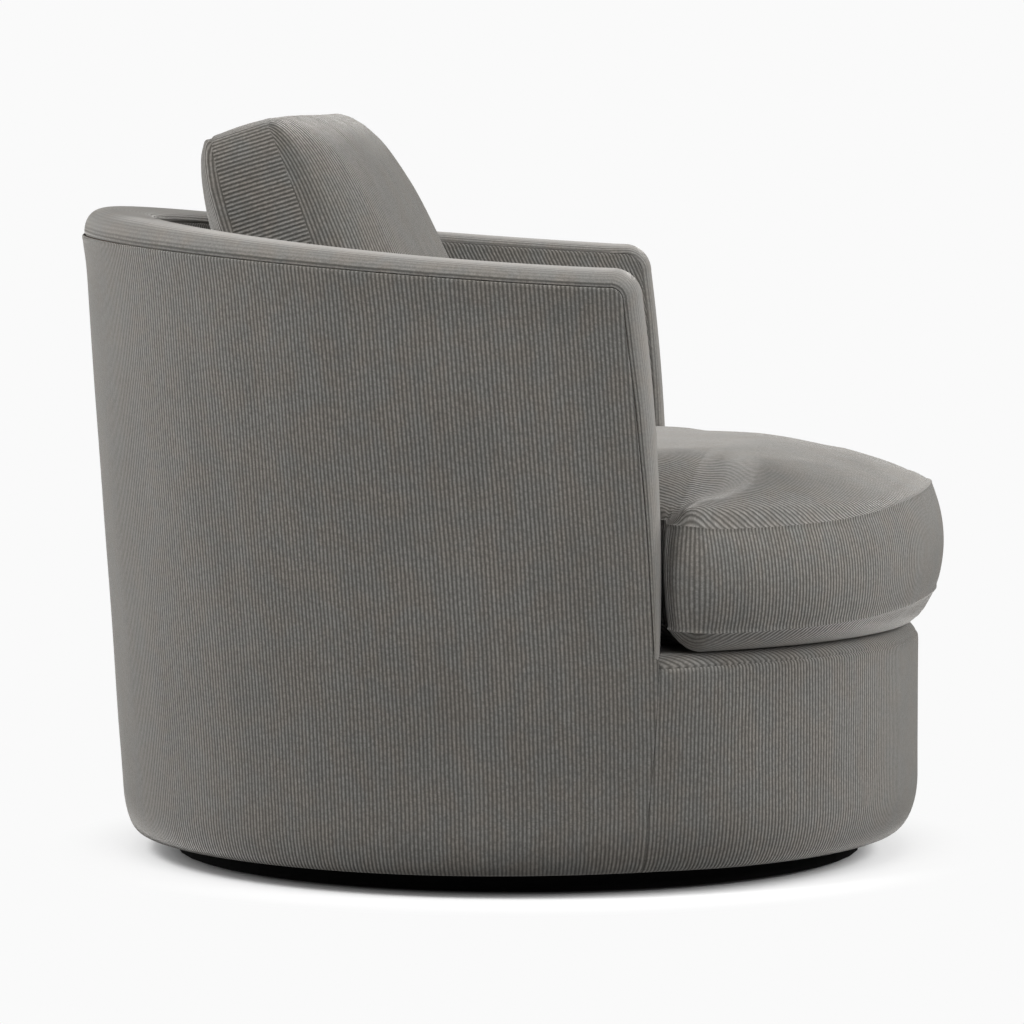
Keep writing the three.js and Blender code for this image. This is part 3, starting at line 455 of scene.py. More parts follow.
# A point of the right-hand half of the wall: x across, reach ahead, z up
def wallPoint(station, depth, inset):
    reach, z, ahead, up, angle = station.T
    depth, inset = np.broadcast_arrays(depth, inset)
    low = z - up * inset
    near = reach - ahead * inset
    radius = shellRadius(low) - depth
    side = np.stack([np.sqrt(np.maximum(radius ** 2 - near ** 2, 0)), near, low], -1)
    turn = np.nan_to_num(angle)
    radius = np.full_like(turn + depth, 413.0)  # a first guess, which the next lines mend
    for _ in range(5):
        low = crestHeight(-radius * np.cos(turn)) - inset
        radius = shellRadius(low) - depth
    back = roundPoint(turn, radius, low)
    return np.where(np.isnan(angle)[..., None], side, back)


edge = freeEdge()


# The band rolls over the rim, squarer inside than outside. Its ribs show near its seams and hardly on top, where
# its colour carries a painted highlight along the crest.
rim = {
    "squareOut": 0.66, "squareIn": 0.5, "pinch": 1.4, "clear": [1, 1, 0.3, 0.3, 0.7],
    "drop": 17.5, "backDrop": 13.5,  # of the outer seam, below the crest
    "frontHeights": [236, 300, 430, 540], "frontDrops": [5.0, 10.0, 16.0, 19.0],
}


# From the crest or the front edge to the outer seam
def outerDrop(station):
    _, z, ahead, _, angle = station.T
    turn = np.nan_to_num(angle, nan=2.0)
    back = np.clip(np.cos(turn), 0, 1)
    top = rim["drop"] + rim["backDrop"] * back ** 2
    front = np.interp(z, rim["frontHeights"], rim["frontDrops"])
    return np.where(np.isnan(angle), mix(top, front, ahead), top)


def rimBand():
    rows = []
    half = wall["thickness"] / 2
    for phi in np.concatenate([np.linspace(0, np.pi / 2, 22), np.linspace(np.pi / 2, np.pi, 22)[1:]]):
        outside = phi <= np.pi / 2
        drop = outerDrop(edge) if outside else np.full(len(edge), wall["innerDrop"])
        square = rim["squareOut"] if outside else rim["squareIn"]
        depth = half - half * np.sign(np.cos(phi)) * abs(np.cos(phi)) ** square
        rows.append(wallPoint(edge, depth, drop * (1 - np.sin(phi))))
    rows = np.array(rows)
    length = along(rows[:, -1])
    run = along(rows[len(rows) // 2])
    push = np.maximum(rim["pinch"] - np.minimum(length, length[-1] - length), 0) ** 2 / 2
    inward = rows.mean(0, keepdims=True) - rows
    inward /= np.maximum(np.linalg.norm(inward, axis=-1, keepdims=True), 1e-6)
    rows = rows + inward * push[:, None, None]
    cloth = np.zeros(rows.shape[:2] + (2,))
    for j in range(rows.shape[1]):
        cloth[:, j, 0] = along(rows[:, j])
        cloth[:, j, 1] = run[j]
    # How plainly the ribs show across the band; the rest of each share is painted highlight
    places = [0, 7.5, 11, length[-1] - 14, length[-1] - 8]
    clear = np.interp(length, places, rim["clear"])
    return bothHalves("rim_panel", rows, cloth, flip=True, clear=clear[:, None] + 0 * rows[..., 0])


# Mirrors a right-hand grid whose last column lies on the middle, and joins both halves there. The grid's
# points are x across, reach ahead and z up
def bothHalves(name, rows, cloth, flip, clear=None):
    right = rows * np.array([1, -1, 1])
    left = right[:, -2::-1] * np.array([-1, 1, 1])
    whole = np.concatenate([right, left], 1)
    run = 2 * cloth[:, -1:, :] - cloth[:, -2::-1]
    if name == "rim_panel":  # its ribs run on from one half to the other
        run[..., 0] = cloth[:, -2::-1, 0]
    sheet = np.concatenate([cloth, run], 1)
    shown = 1.0 if clear is None else np.concatenate([clear, clear[:, -2::-1]], 1)
    return meshPiece(name, whole, gridFaces(*whole.shape[:2], flip=flip), sheet, fabric, shown)


# The seam line on a face of the wall, as flat points [angle from the back, z]
def wallSeam(depth, drop):
    line = wallPoint(edge, depth, drop)
    return np.stack([np.arctan2(line[:, 0], -line[:, 1]), line[:, 2]], -1)


# Fills the four-sided flat area between its edges. Columns and rows are shares from 0 to 1
def flatCoons(bottom, right, top, left, columns, rows):
    u, v = columns[None, :, None], rows[:, None, None]
    upright = (1 - v) * resampled(bottom, columns)[None] + v * resampled(top, columns)[None]
    toLeft = (1 - u) * resampled(left, rows)[:, None]
    toRight = u * resampled(right, rows)[:, None]
    corners = (1 - u) * (1 - v) * bottom[0] + u * (1 - v) * bottom[-1] + (1 - u) * v * top[0] + u * v * top[-1]
    return upright + toLeft + toRight - corners


# Shares from 0 to 1, closer together towards 1
def towards(count, power=1.8):
    return 1 - (1 - np.linspace(0, 1, count)) ** power


# How deep the fabric lies near a seam, where it turns in between a low ridge on either side
def seamEdge(distance, sink=1.2, roll=1.8, ridge=0.25, ridgeAt=3.5, ridgeWide=2.0):
    turned = np.clip(1 - distance / roll, 0, 1)
    return sink * (1 - np.sqrt(1 - turned ** 2)) - ridge * np.exp(-((distance - ridgeAt) / ridgeWide) ** 2)


# The foot's rounding grows from its first to its second size where the wall turns to the front
hem = {"turns": (1.25, 2.1), "wide": (13.0, 26.0), "high": (42.0, 55.0), "flange": 34.0}


def hemRound(turn):
    share = ease(*hem["turns"], turn)
    return mix(*hem["wide"], share), mix(*hem["high"], share)


outer = {
    "arc": 430.0,  # millimetres to a radian of turn, in the flat plan
    "fullness": 2.2, "fullReach": 24, "uneven": 0.7, "patch": 90.0,
    "ribBow": 8.3, "bowHeight": 275, "ribLean": 0.0276,
    # place along the wall, height, half width, half height and depth of each fold
    "folds": [
        (318, 330, 26, 150, 1.0), (352, 300, 20, 120, 0.8), (290, 420, 30, 110, 0.7), (560, 380, 16, 40, 0.5),
    ],
}


def outerPanel():
    seam = wallSeam(0, outerDrop(edge))
    arc = np.array([outer["arc"], 1.0])
    middle = len(edge) - cornerStation
    lowest = wall["panelFoot"]
    heights = np.linspace(lowest, wall["deck"] - 4, 40)
    frontLow = np.array([(math.acos(-float(frontReach(z)) / float(shellRadius(z))), z) for z in heights])
    right = np.concatenate([frontLow, seam[1:middle + 1]]) * arc
    top = seam[middle:][::-1] * arc
    left = np.array([(0, lowest), (0, seam[-1, 1])]) * arc
    bottom = np.array([(a, lowest) for a in np.linspace(0, frontLow[0, 0], 60)]) * arc
    grid = flatCoons(bottom, right, top, left, towards(230), towards(130))
    away = np.minimum(lineDistance(grid, seam * arc), lineDistance(grid, frontLow * arc))
    grid = grid / arc
    turn, z = grid[..., 0], grid[..., 1]
    radius = shellRadius(z)
    flat = np.stack([turn * radius, z], -1)
    depth = seamEdge(away) - outer["fullness"] * np.exp(-(lineDistance(grid * arc, top) / outer["fullReach"]) ** 2)
    uneven = outer["uneven"] * softNoise(flat * (1.0, 0.35), outer["patch"], seed=3) * ease(4, 60, away)
    depth = depth + (uneven - foldMarks(flat, away)) * ease(lowest, lowest + 60, z)
    rows = roundPoint(turn, radius - depth, z)
    low = np.clip(1 - (z - lowest) / outer["bowHeight"], 0, 1)
    shift = turn * 2 / math.pi * (outer["ribBow"] * low ** 2 - outer["ribLean"] * (z - lowest))
    cloth = np.stack([turn * radius + shift, z], -1)
    foot, footCloth = hemRows(rows[0], cloth[0], turn[0], away[0])
    rows = np.concatenate([foot, rows])[:, ::-1]
    cloth = np.concatenate([footCloth, cloth])[:, ::-1]
    return bothHalves("outer_panel", rows, cloth * (-1, 1), flip=False)


# Faint upright folds where the fabric is drawn round the back, and creases by the arm front
def foldMarks(flat, away):
    total = np.zeros(flat.shape[:-1])
    for place, z, wide, tall, deep in outer["folds"]:
        total += deep * np.exp(-((flat[..., 0] - place) / wide) ** 2 - ((flat[..., 1] - z) / tall) ** 2)
    return total * ease(3, 20, away)


# Rows below a panel's lowest line: down to the rounding, round it and back under to the end of the flange
def hemRows(line, cloth, turn, away, radiusOf=shellRadius):
    wide, high = hemRound(turn)
    pinch = seamEdge(away)
    rows, sheets = [], []
    profile = [(0.0, share, 0) for share in np.linspace(0, 1, 6)[1:]]
    profile += [(a, 1.0, 0) for a in np.linspace(0, np.pi / 2, 14)[1:]]
    profile += [(np.pi / 2, 1.0, hem["flange"])]
    before = line
    run = cloth[..., 1].copy()
    for a, share, flange in profile:
        z = mix(wall["panelFoot"], wall["foot"] + high, share) if a == 0 else wall["foot"] + high * (1 - np.sin(a))
        depth = wide * (1 - np.cos(a)) + flange
        radius = radiusOf(np.maximum(z, wall["foot"])) - depth - pinch * (1 if flange == 0 else 0)
        now = roundPoint(turn, radius, z)
        run = run - np.linalg.norm(now - before, axis=-1)
        rows.append(now)
        sheets.append(np.stack([cloth[..., 0], run], -1))
        before = now
    return np.array(rows[::-1]), np.array(sheets[::-1])


inner = {
    "arc": 352.0, "hollow": 3.0, "uneven": 0.7, "patch": 80.0, "ribLean": 0.10, "ribFan": 0.28, "fanHeight": 470,
}


def innerPanel():
    face = wall["thickness"]
    seam = wallSeam(face, np.full(len(edge), wall["innerDrop"]))
    arc = np.array([inner["arc"], 1.0])
    middle = len(edge) - cornerStation
    right = seam[:middle + 1] * arc
    top = seam[middle:][::-1] * arc
    low = wall["deck"] - 4
    left = np.array([(0, low), (0, seam[-1, 1])]) * arc
    bottom = np.array([(a, low) for a in np.linspace(0, seam[0, 0], 60)]) * arc
    grid = flatCoons(bottom, right, top, left, towards(180), towards(90))
    away = lineDistance(grid, seam * arc)
    grid = grid / arc
    turn, z = grid[..., 0], grid[..., 1]
    radius = shellRadius(z) - face
    flat = np.stack([turn * radius, z], -1)
    uneven = inner["uneven"] * softNoise(flat * (1.0, 0.4), inner["patch"], seed=5) * ease(4, 50, away)
    radius = radius + (seamEdge(away) - inner["hollow"] * ease(4, 70, away) - uneven)
    rows = roundPoint(turn, radius, z)
    fan = inner["ribFan"] * np.maximum(z - inner["fanHeight"], 0) * ease(0.6, 1.3, turn)
    lean = inner["ribLean"] * (z - low) + fan
    cloth = np.stack([turn * radius + lean, z], -1)
    return bothHalves("inner_panel", rows[:, ::-1], cloth[:, ::-1] * (-1, 1), flip=True)


dress(outerPanel(), "shell", "outer_cover")
dress(rimBand(), "shell", "rim_band")
dress(innerPanel(), "shell", "inner_cover")


# Base front and seat deck
print("base")
base = {
    "radius": 415.7, "edge": 22.0, "seamAngle": math.radians(25), "blend": 130, "uneven": 0.6, "patch": 80.0,
    "tuck": 6.0, "tuckTurn": 0.12,  # how far the deck runs into the wall, and the turn that takes it out
}


# Turn at which an arm's front edge stands
def armTurn(z):
    return np.pi - np.arccos(np.clip(frontReach(z) / shellRadius(z), -1, 1))


# The base front stands upright, and runs into the wall where it meets the arms
def baseRadius(turn, z):
    gap = (turn - armTurn(z)) * base["radius"]
    return mix(shellRadius(z), base["radius"], ease(0, base["blend"], gap))


# Drop below the base's radius and height on the rounded front edge of the deck
def baseEdgeProfile(angle):
    return base["edge"] * (1 - np.cos(angle)), wall["deck"] - base["edge"] * (1 - np.sin(angle))


def frontPanel():
    lowest, bend = wall["panelFoot"], wall["deck"] - base["edge"]
    top = baseEdgeProfile(base["seamAngle"])[1]
    heights = np.concatenate([np.linspace(lowest, bend, 40), np.linspace(bend, top, 9)[1:]])
    shares = towards(160)[::-1]
    rows, sheets = [], []
    for z in heights:
        turn = mix(np.pi, float(armTurn(z)), shares)
        angle = math.asin(max(z - wall["deck"] + base["edge"], 0) / base["edge"])
        side = (turn - turn[0]) * base["radius"]
        depth = seamEdge(np.minimum(side, (top - z) * 1.1), sink=1.5, roll=2.0, ridge=0.4)
        flat = np.stack([turn * base["radius"], np.full_like(turn, z)], -1)
        uneven = base["uneven"] * softNoise(flat * (1, 0.4), base["patch"], seed=9) * ease(3, 50, side)
        depth = depth + uneven * float(ease(lowest, lowest + 60, z))
        radius = baseRadius(turn, z) - base["edge"] * (1 - math.cos(angle)) - depth
        rows.append(roundPoint(turn, radius, z))
        sheets.append(flat)
    turn = mix(np.pi, float(armTurn(lowest)), shares)
    side = (turn - turn[0]) * base["radius"]
    foot, footSheet = hemRows(rows[0], sheets[0], turn, side, lambda z: baseRadius(turn, z))
    rows = np.concatenate([foot, np.array(rows)])
    sheets = np.concatenate([footSheet, np.array(sheets)])
    return bothHalves("base_front_panel", rows, sheets, flip=True)


def deckPanel():
    level = wall["deck"]
    start = float(armTurn(level))
    turns = np.concatenate([np.linspace(0, start, 60), np.linspace(start, np.pi, 120)[1:]])
    ahead = turns >= start
    radius = np.where(ahead, baseRadius(turns, level), shellRadius(level) - wall["thickness"] + base["tuck"])
    soft = ease(start - base["tuckTurn"], start + 0.001, turns)
    radius = np.where(ahead, radius, mix(radius, baseRadius(np.full_like(turns, start), level), soft))
    rows = []
    for angle in np.linspace(base["seamAngle"], np.pi / 2, 12):
        drop, z = baseEdgeProfile(angle)
        pinch = 1.5 * max(1 - (angle - base["seamAngle"]) * base["edge"] / 2.5, 0) ** 2
        rows.append(roundPoint(turns, radius - drop - pinch, z - 0.3))
    rows += [rows[-1] * (share, share, 1) for share in (0.97, 0.93, 0.85, 0.7, 0.5, 0.3, 0.1, 0.0)]
    rows = np.array(rows)[:, ::-1]
    return bothHalves("deck_panel", rows, rows[..., :2], flip=False)


dress(frontPanel(), "shell", "base_front_cover")
dress(deckPanel(), "shell", "deck_cover")


# Seat cushion and back pillow: panels with the bulge of the real ones. A short cloth simulation of a copy adds
# some soft unevenness, and the fabric is drawn in at the seams after it.
print("cushions")
swelling = {"voxel": 6.0, "pressure": 4.0, "frames": 20, "quality": 5, "search": 26.0}


def arcLine(centre, radius, start, stop, count):
    angles = np.linspace(start, stop, count)
    return np.stack([centre[0] + radius * np.sin(angles), centre[1] + radius * np.cos(angles)], -1)


# Repeats the start of a ring of points at its end
def closed(ring, axis=1):
    return np.concatenate([ring, ring.take([0], axis)], axis)


def surfaceTree(mesh):
    return BVHTree.FromPolygons([v.co.copy() for v in mesh.vertices], [tuple(p.vertices) for p in mesh.polygons])


seat = {
    "rear": 341.2, "front": 433.2, "back": 158.0, "hollow": 15.0, "ear": 28.0,
    "under": 240.6, "low": 261.0, "high": 362.0, "summit": 429.5, "middle": 230.0,
    "rise": {"from": 230, "run": 203, "low": (14, 2.6), "high": (21.5, 3.4), "tail": (2, 4)},
    "band": {"side": 4, "bulge": 8.4, "fall": 39.6, "peak": 0.414},
    "roll": {"front": 2.0, "ears": 24.0, "run": 12}, "dome": {"run": 195, "power": 1.7},
    "trough": {"radius": 355, "outside": 32, "inside": 70, "depth": 29},
    "simulated": {"shrink": 9.0, "gain": 0.2, "most": 0.6}, "uneven": 0.8, "patch": 110.0,
}


# Plan of the cushion from the middle of its rear round the right ear to the middle of its front
def seatOutline():
    rear, front, back, hollow, ear = (seat[k] for k in ("rear", "front", "back", "hollow", "ear"))
    notch = (math.sqrt((rear + hollow) ** 2 - (back - hollow) ** 2), back - hollow)
    lobe = (math.sqrt((front - ear) ** 2 - (back + ear) ** 2), back + ear)
    notchTurn = math.atan2(*notch)
    lobeTurn = math.atan2(*lobe)
    half = np.concatenate([
        arcLine((0, 0), rear, math.pi, notchTurn, 130),
        arcLine(notch, hollow, notchTurn - math.pi, 0, 14)[1:],
        arcLine(lobe, ear, math.pi, lobeTurn, 20),
        arcLine((0, 0), front, lobeTurn, 0, 130)[1:],
    ])
    half = resampled(half, np.linspace(0, 1, 261))
    return np.concatenate([half, half[-2:0:-1] * (-1, 1)])


# Unit vectors that point out of a closed outline
def outwards(line):
    tangent = np.roll(line, -1, 0) - np.roll(line, 1, 0)
    tangent /= np.linalg.norm(tangent, axis=1, keepdims=True)
    return np.stack([tangent[:, 1], -tangent[:, 0]], -1)


nearSeam = np.array([0, 0.8, 1.6, 2.6, 4, 6, 8.5, 12, 17, 24])


# Shares of the way to the middle for the rows of a panel: set distances from the seam first, then even steps
def ringShares(reachOut, count):
    close = nearSeam[:, None] / reachOut[None, :]
    rest = np.linspace(0, 1, count + 1)[1:, None]
    return np.concatenate([close, mix(close[-1][None, :], 1.0, rest)])


# Distances from the seam for the rows of a panel. Those beyond the set ones count as far away
def faceGap(count):
    return np.concatenate([nearSeam, np.full(count - len(nearSeam), 99.0)])[:, None]


# Joins panels of closed rings into one mesh. Each has its rows, its flat cloth and the rows' distances from
# the nearest seam
def sewn(panels):
    points, faces, sheets, gaps, start = [], [], [], [], 0
    for rows, cloth, gap in panels:
        rows = closed(rows)
        count, columns = rows.shape[:2]
        points.append(rows.reshape(-1, 3))
        sheets.append(cloth.reshape(-1, 2))
        gaps.append(np.broadcast_to(gap, (count, columns)).reshape(-1))
        faces += gridFaces(count, columns, start)
        start += count * columns
    return np.concatenate(points), np.array(faces), np.concatenate(sheets), np.concatenate(gaps)


def sameSpot(points):
    return np.unique(np.round(points, 3), axis=0, return_inverse=True)[1].ravel()


# Normals of the closed form, the same on both sides of a seam
def outNormals(points, faces):
    a, b, c, d = (points[faces[:, k]] for k in range(4))
    normal = np.cross(c - a, d - b)
    spot = sameSpot(points)
    total = np.zeros((spot.max() + 1, 3))
    for k in range(4):
        np.add.at(total, spot[faces[:, k]], normal)
    total /= np.maximum(np.linalg.norm(total, axis=1, keepdims=True), 1e-9)
    return total[spot]


# Lets a copy of the form swell as cloth, and returns how far outside each point it comes to lie
def blownUp(points, faces, normals, still, shrink):
    copy = meshPiece("swelling", points - normals * shrink, faces)
    weld = copy.modifiers.new("weld", "WELD")
    weld.merge_threshold = 0.0002
    remesh = copy.modifiers.new("remesh", "REMESH")
    remesh.mode = "VOXEL"
    remesh.voxel_size = swelling["voxel"] * mm
    settled = bpy.data.meshes.new_from_object(copy.evaluated_get(bpy.context.evaluated_depsgraph_get()))
    copy.modifiers.clear()
    copy.data = settled
    held = copy.vertex_groups.new(name="held")
    for vertex in settled.vertices:
        if still(vertex.co / mm):
            held.add([vertex.index], 1.0, "REPLACE")
    cloth = copy.modifiers.new("cloth", "CLOTH")
    cloth.settings.use_pressure = True
    cloth.settings.uniform_pressure_force = swelling["pressure"]
    cloth.settings.vertex_group_mass = "held"
    cloth.settings.effector_weights.gravity = 0
    cloth.settings.quality = swelling["quality"]
    cloth.point_cache.frame_end = swelling["frames"]
    for frameNumber in range(1, swelling["frames"] + 1):
        scene.frame_set(frameNumber)
    shape = copy.evaluated_get(bpy.context.evaluated_depsgraph_get())
    swelled = shape.to_mesh()
    tree = surfaceTree(swelled)
    offsets = np.full(len(points), np.nan)
    far = swelling["search"]
    for i, (point, normal) in enumerate(zip(points * mm, normals)):
        way = Vector(normal)
        hit = tree.ray_cast(Vector(point) + way * far * mm, -way, 2 * far * mm)
        if hit[0] is not None:
            offsets[i] = far - hit[3] / mm
    shape.to_mesh_clear()
    bpy.data.objects.remove(copy)
    scene.frame_set(1)
    return np.clip(np.nan_to_num(offsets), -far, far)


# Values averaged with their neighbours across the mesh, some number of turns
def smoothed(values, points, faces, turns):
    spot = sameSpot(points)
    count = spot.max() + 1
    one, two = np.concatenate([spot[faces[:, [k, (k + 1) % 4]]] for k in range(4)]).T
    weight = np.bincount(one, minlength=count) + np.bincount(two, minlength=count)
    flat = np.bincount(spot, values, count) / np.bincount(spot, minlength=count)
    for _ in range(turns):
        total = np.bincount(one, flat[two], count) + np.bincount(two, flat[one], count)
        flat = 0.5 * flat + 0.5 * total / np.maximum(weight, 1)
    return flat[spot]


# How far the fabric is drawn in at a seam, with small puckers along it
def seamPull(gap, run, depth=0.8):
    pucker = 0.12 * np.sin(run / 2.3) + 0.10 * np.sin(run / 5.9 + 1)
    return depth * np.exp(-(gap / 1.3) ** 2) - (0.3 + pucker) * np.exp(-((gap - 5) / 4.0) ** 2)


# Heights of the cushion's lower and upper seam, which rise towards the front
def seamHeights(reach):
    rise = seat["rise"]
    share = np.clip((reach - rise["from"]) / rise["run"], 0, 1)
    tail = 1 - ease(170, 215, reach)
    return tuple(
        seat[key] + extra * tail + rise[key][0] * share ** rise[key][1]
        for key, extra in zip(("low", "high"), rise["tail"])
    )


# Height of the cushion's top: a roll along the front seam, steep by the ears and gentle at the
# front, with a trough behind it beside each arm
def seatTop(plan, edgeLine, start, out):
    roll, dome, trough = seat["roll"], seat["dome"], seat["trough"]
    inside = lineDistance(plan, closed(edgeLine, 0))
    hidden = edgeLine[:, 1] < seat["back"] + 4
    turn = int(np.argmin(hidden))
    behind = lineDistance(plan, np.concatenate([edgeLine[turn:][hidden[turn:]], edgeLine[:turn]]))
    away = np.linalg.norm(plan, axis=-1)
    reach = plan[..., 1]
    run = mix(inside, np.clip(seat["front"] - 5 - away, 0, 400), ease(60, 150, reach) * ease(0, 28, inside))
    puff = mix(roll["front"], roll["ears"], ease(0.3, 1.0, abs(out[:, 0])))
    rise = 1 - (1 - np.clip(run / dome["run"], 0, 1)) ** dome["power"]
    lift = puff * (1 - np.exp(-run / roll["run"])) + (seat["summit"] - start - puff) * rise
    wide = np.where(away > trough["radius"], trough["outside"], trough["inside"])
    dip = np.exp(-((away - trough["radius"]) / wide) ** 2) * ease(60, 130, reach) * (1 - ease(180, 255, reach))
    return start + (lift - trough["depth"] * dip * ease(0, 20, inside)) * (1 - np.exp(-behind / 9))


def seatPanels():
    outline = seatOutline()
    out = outwards(outline)
    ahead = ease(seat["back"], seat["back"] + 50, outline[:, 1])
    run = along(closed(outline, 0))
    low, high = seamHeights(outline[:, 1])
    tall = high - low
    heights = np.concatenate([
        np.broadcast_to(nearSeam[:8, None], (8, len(outline))),
        17 + np.linspace(0, 1, 16)[:, None] * (tall - 34),
        tall - nearSeam[7::-1, None],
    ])
    share = heights / tall
    shape = seat["band"]
    front = shape["bulge"] - shape["fall"] * (share - shape["peak"]) ** 2
    bulge = mix(shape["side"] * np.sin(np.pi * share), front, ahead)
    band = np.concatenate([outline + out * bulge[..., None], (low + heights)[..., None]], -1) * (1, -1, 1)
    bandCloth = np.stack([np.broadcast_to(run, (len(heights), len(run))), closed(low + heights)], -1)

    # Rows of points from a seam to the middle, in plan
    def ringRows(edgeLine):
        centre = np.array([0.0, seat["middle"]])
        shares = ringShares(np.linalg.norm(edgeLine - centre, axis=1), 46)
        return mix(edgeLine[None], centre[None, None], shares[..., None])

    topEdge, bottomEdge = (band[k, :, :2] * (1, -1) for k in (-1, 0))
    plan = ringRows(topEdge)
    top = np.stack([plan[..., 0], -plan[..., 1], seatTop(plan, topEdge, high, out)], -1)
    plan = ringRows(bottomEdge)
    inside = np.clip(lineDistance(plan, closed(bottomEdge, 0)) / 32, 0, 1)
    bottom = np.stack([plan[..., 0], -plan[..., 1], mix(low, seat["under"], 1 - (1 - inside) ** 1.9)], -1)
    gap = faceGap(len(plan))
    return [
        (bottom[::-1], closed(bottom)[::-1, :, :2], gap[::-1]),
        (band, bandCloth, closed(np.minimum(heights, tall - heights))),
        (top, closed(top)[..., :2], gap),
    ]


def seatCushion():
    points, faces, cloth, gap = sewn(seatPanels())
    soft = smoothed(points[:, 2], points, faces, 16)
    points[:, 2] = mix(points[:, 2], soft, ease(5, 24, gap) * (points[:, 2] > 350))
    normals = outNormals(points, faces)
    share = seat["simulated"]
    offset = blownUp(points, faces, normals, lambda p: p.z < seat["under"] + 12, share["shrink"])
    offset = smoothed(offset, points, faces, 40) - smoothed(offset, points, faces, 160)
    above = ease(seat["under"] + 6, seat["under"] + 24, points[:, 2])
    run = points[:, 0] + points[:, 1] * 1.3
    uneven = seat["uneven"] * above * softNoise(points, seat["patch"], seed=21)
    swell = np.clip(share["gain"] * offset, -share["most"], share["most"])
    shift = above * (swell - seamPull(gap, run)) + uneven
    points = points + normals * shift[:, None]
    points[:, 2] = np.maximum(points[:, 2], seat["under"])
    # Faces turned up show their ribs less, and their colour takes the painted highlight
    clear = np.clip(1 - 0.6 * ease(0.55, 0.95, normals[:, 2]), 0, 1)
    return meshPiece("seat_cushion_cover", points, faces, cloth, fabric, clear)


cushion = dress(seatCushion(), "cushion", "seat_cushion")


pillow = {
    "wide": 467.7, "high": 337.0, "border": 73.4, "cornerLoss": 14.0, "front": 84.9, "sag": 0.263, "back": 39.9,
    "pullX": 0.0232, "pullZ": 0.0244, "power": 3.08, "swell": 0.4486, "corner": 16.3 / 500, "bow": 2.4,
    "lean": 0.3097, "turn": 0.0751, "place": (6.2, 205.0, 591.1), "clearance": 1.2,
    "simulated": {"shrink": 7.0, "gain": 0.5, "most": 2},
    "streaks": {"middle": 0.8, "ends": 1.6, "stretch": (1, 1, 0.12), "size": 46.0},
}
pillowPlace = (
    Matrix.Translation(pillow["place"])
    @ Matrix.Rotation(-pillow["turn"], 4, "Z")
    @ Matrix.Rotation(-pillow["lean"], 4, "X")
)


# A point on a face of the pillow, or on its border at a share from -1 in front to 1 behind
def pillowPoint(unit, side, share=None):
    x, z = unit[..., 0], unit[..., 1]
    corner = abs(x * z)
    squeeze = 1 - pillow["corner"] * corner ** 10
    across = pillow["wide"] / 2 * x * squeeze * (1 - pillow["pullX"] * (1 - z ** 2))
    up = pillow["high"] / 2 * z * squeeze * (1 - pillow["pullZ"] * (1 - x ** 2))
    thick = (pillow["border"] - pillow["cornerLoss"] * corner ** 2.3) / 2
    swell = np.clip((1 - abs(x) ** pillow["power"]) * (1 - abs(z) ** pillow["power"]), 0, 1) ** pillow["swell"]
    bulge = pillow["front"] * (1 - pillow["sag"] * z) if side < 0 else pillow["back"]
    depth = side * (thick + bulge * swell) if share is None else thick * share
    return np.stack([across, depth, up], -1)


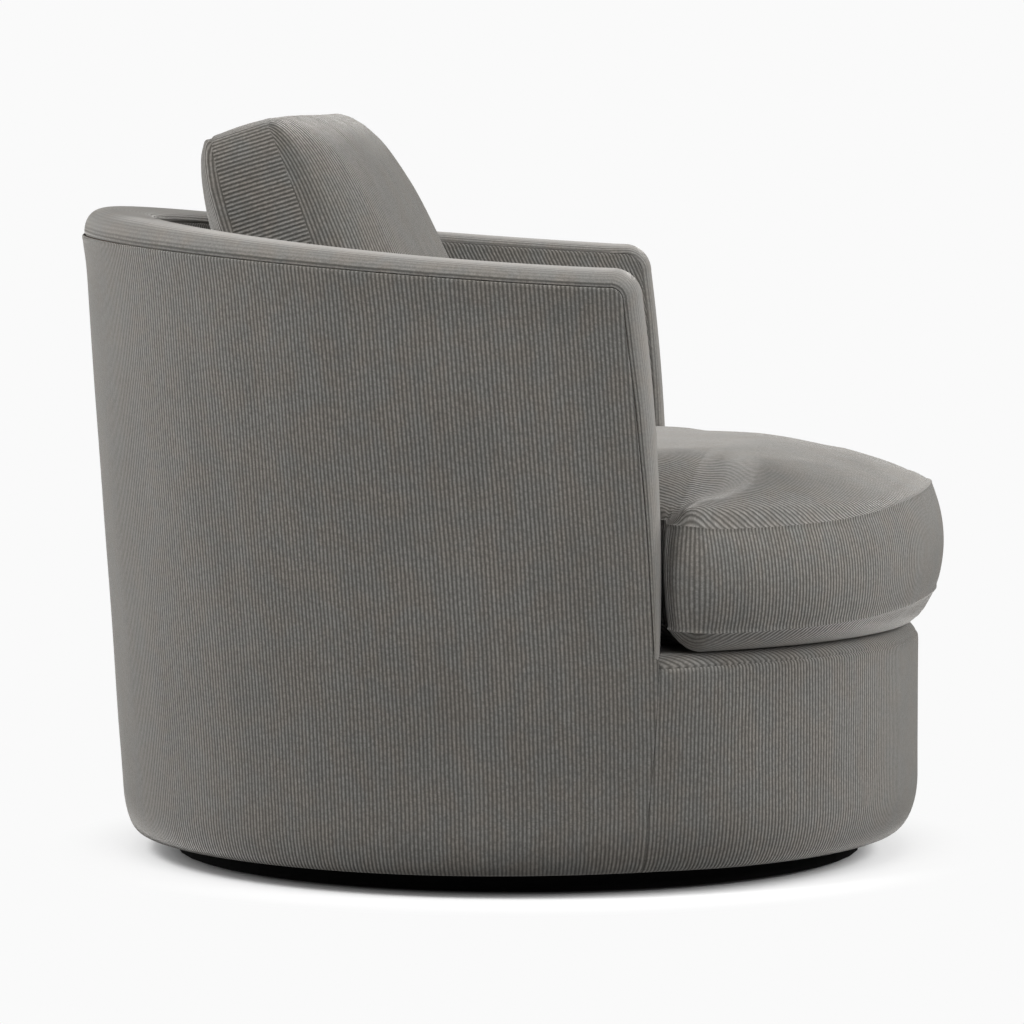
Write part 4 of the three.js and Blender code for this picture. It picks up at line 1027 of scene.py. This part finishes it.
def pillowPanels():
    side = np.linspace(-1, 1, 121)[:-1]
    ones = np.ones(len(side))
    square = np.concatenate([
        np.stack(pair, -1) for pair in ((side, -ones), (ones, side), (-side, ones), (-ones, -side))
    ])
    size = np.array([pillow["wide"], pillow["high"]]) / 2
    shares = ringShares(np.linalg.norm(square * size, axis=1), 40)
    unit = square[None] * (1 - shares[..., None])
    frontFace, backFace = pillowPoint(unit, -1), pillowPoint(unit, 1)
    run = along(closed(square, 0) * size)
    seamRows = nearSeam[:8]
    places = np.concatenate([seamRows, np.linspace(16, 57.4, 9), (pillow["border"] - seamRows)[::-1]])
    share = 1 - 2 * places / pillow["border"]
    border = np.stack([pillowPoint(square, 1, s) for s in share])
    out = np.where(abs(square) > 0.999, square, 0)
    bow = pillow["bow"] * (1 - share ** 2)[:, None] * (1 - abs(square).min(1) ** 12)[None, :]
    border = border + np.stack([out[:, 0] * bow, 0 * bow, out[:, 1] * bow], -1)
    borderCloth = np.stack(np.broadcast_arrays(run[None, :], places[:, None]), -1)

    # Flat cloth of a face, whose width follows the face's curve
    def faceCloth(side):
        x = np.linspace(0, 1, 400)
        middle = along(pillowPoint(np.stack([x, 0 * x], -1), side))
        level = pillow["wide"] / 2 * x * (1 - pillow["pullX"])
        whole = closed(unit)
        share = np.clip(1 - abs(whole[..., 1]) ** pillow["power"], 0, 1) ** pillow["swell"]
        extra = np.interp(abs(whole[..., 0]), x, middle - level) * share * np.sign(whole[..., 0])
        points = pillowPoint(whole, side)
        return np.stack([points[..., 0] + extra, points[..., 2]], -1)

    gap = faceGap(len(shares))
    return [
        (backFace[::-1], faceCloth(1)[::-1], gap[::-1]),
        (border, borderCloth, np.minimum(places, pillow["border"] - places)[:, None]),
        (frontFace, faceCloth(-1), gap),
    ]


# Keeps points above the top of another piece
def rest(points, under):
    tree = surfaceTree(under.data)
    for point in points:
        hit = tree.ray_cast(Vector((point[0] * mm, point[1] * mm, 1.0)), Vector((0, 0, -1)))
        if hit[0] is not None:
            point[2] = max(point[2], hit[0].z / mm + pillow["clearance"])
    return points


def backPillow():
    points, faces, cloth, gap = sewn(pillowPanels())
    normals = outNormals(points, faces)
    share, drawn = pillow["simulated"], pillow["streaks"]
    offset = blownUp(points, faces, normals, lambda p: False, share["shrink"])
    offset = smoothed(offset, points, faces, 12) - smoothed(offset, points, faces, 80)
    height = mix(drawn["middle"], drawn["ends"], ease(40, 150, abs(points[:, 2])))
    streaks = softNoise(points * drawn["stretch"], drawn["size"], seed=31, octaves=3)
    onFace = ease(0.25, 0.7, abs(normals[:, 1]))
    swell = np.clip(share["gain"] * offset, -share["most"], share["most"])
    shift = swell - seamPull(gap, points[:, 0] + points[:, 2]) + onFace * height * streaks
    points = points + normals * shift[:, None]
    matrix = np.array(pillowPlace)
    placed = rest(points @ matrix[:3, :3].T + matrix[:3, 3], cushion)
    return meshPiece("back_pillow_cover", placed, faces, cloth, fabric)


pillowPiece = dress(backPillow(), "pillow", "back_pillow")


# Finish
print("finish")
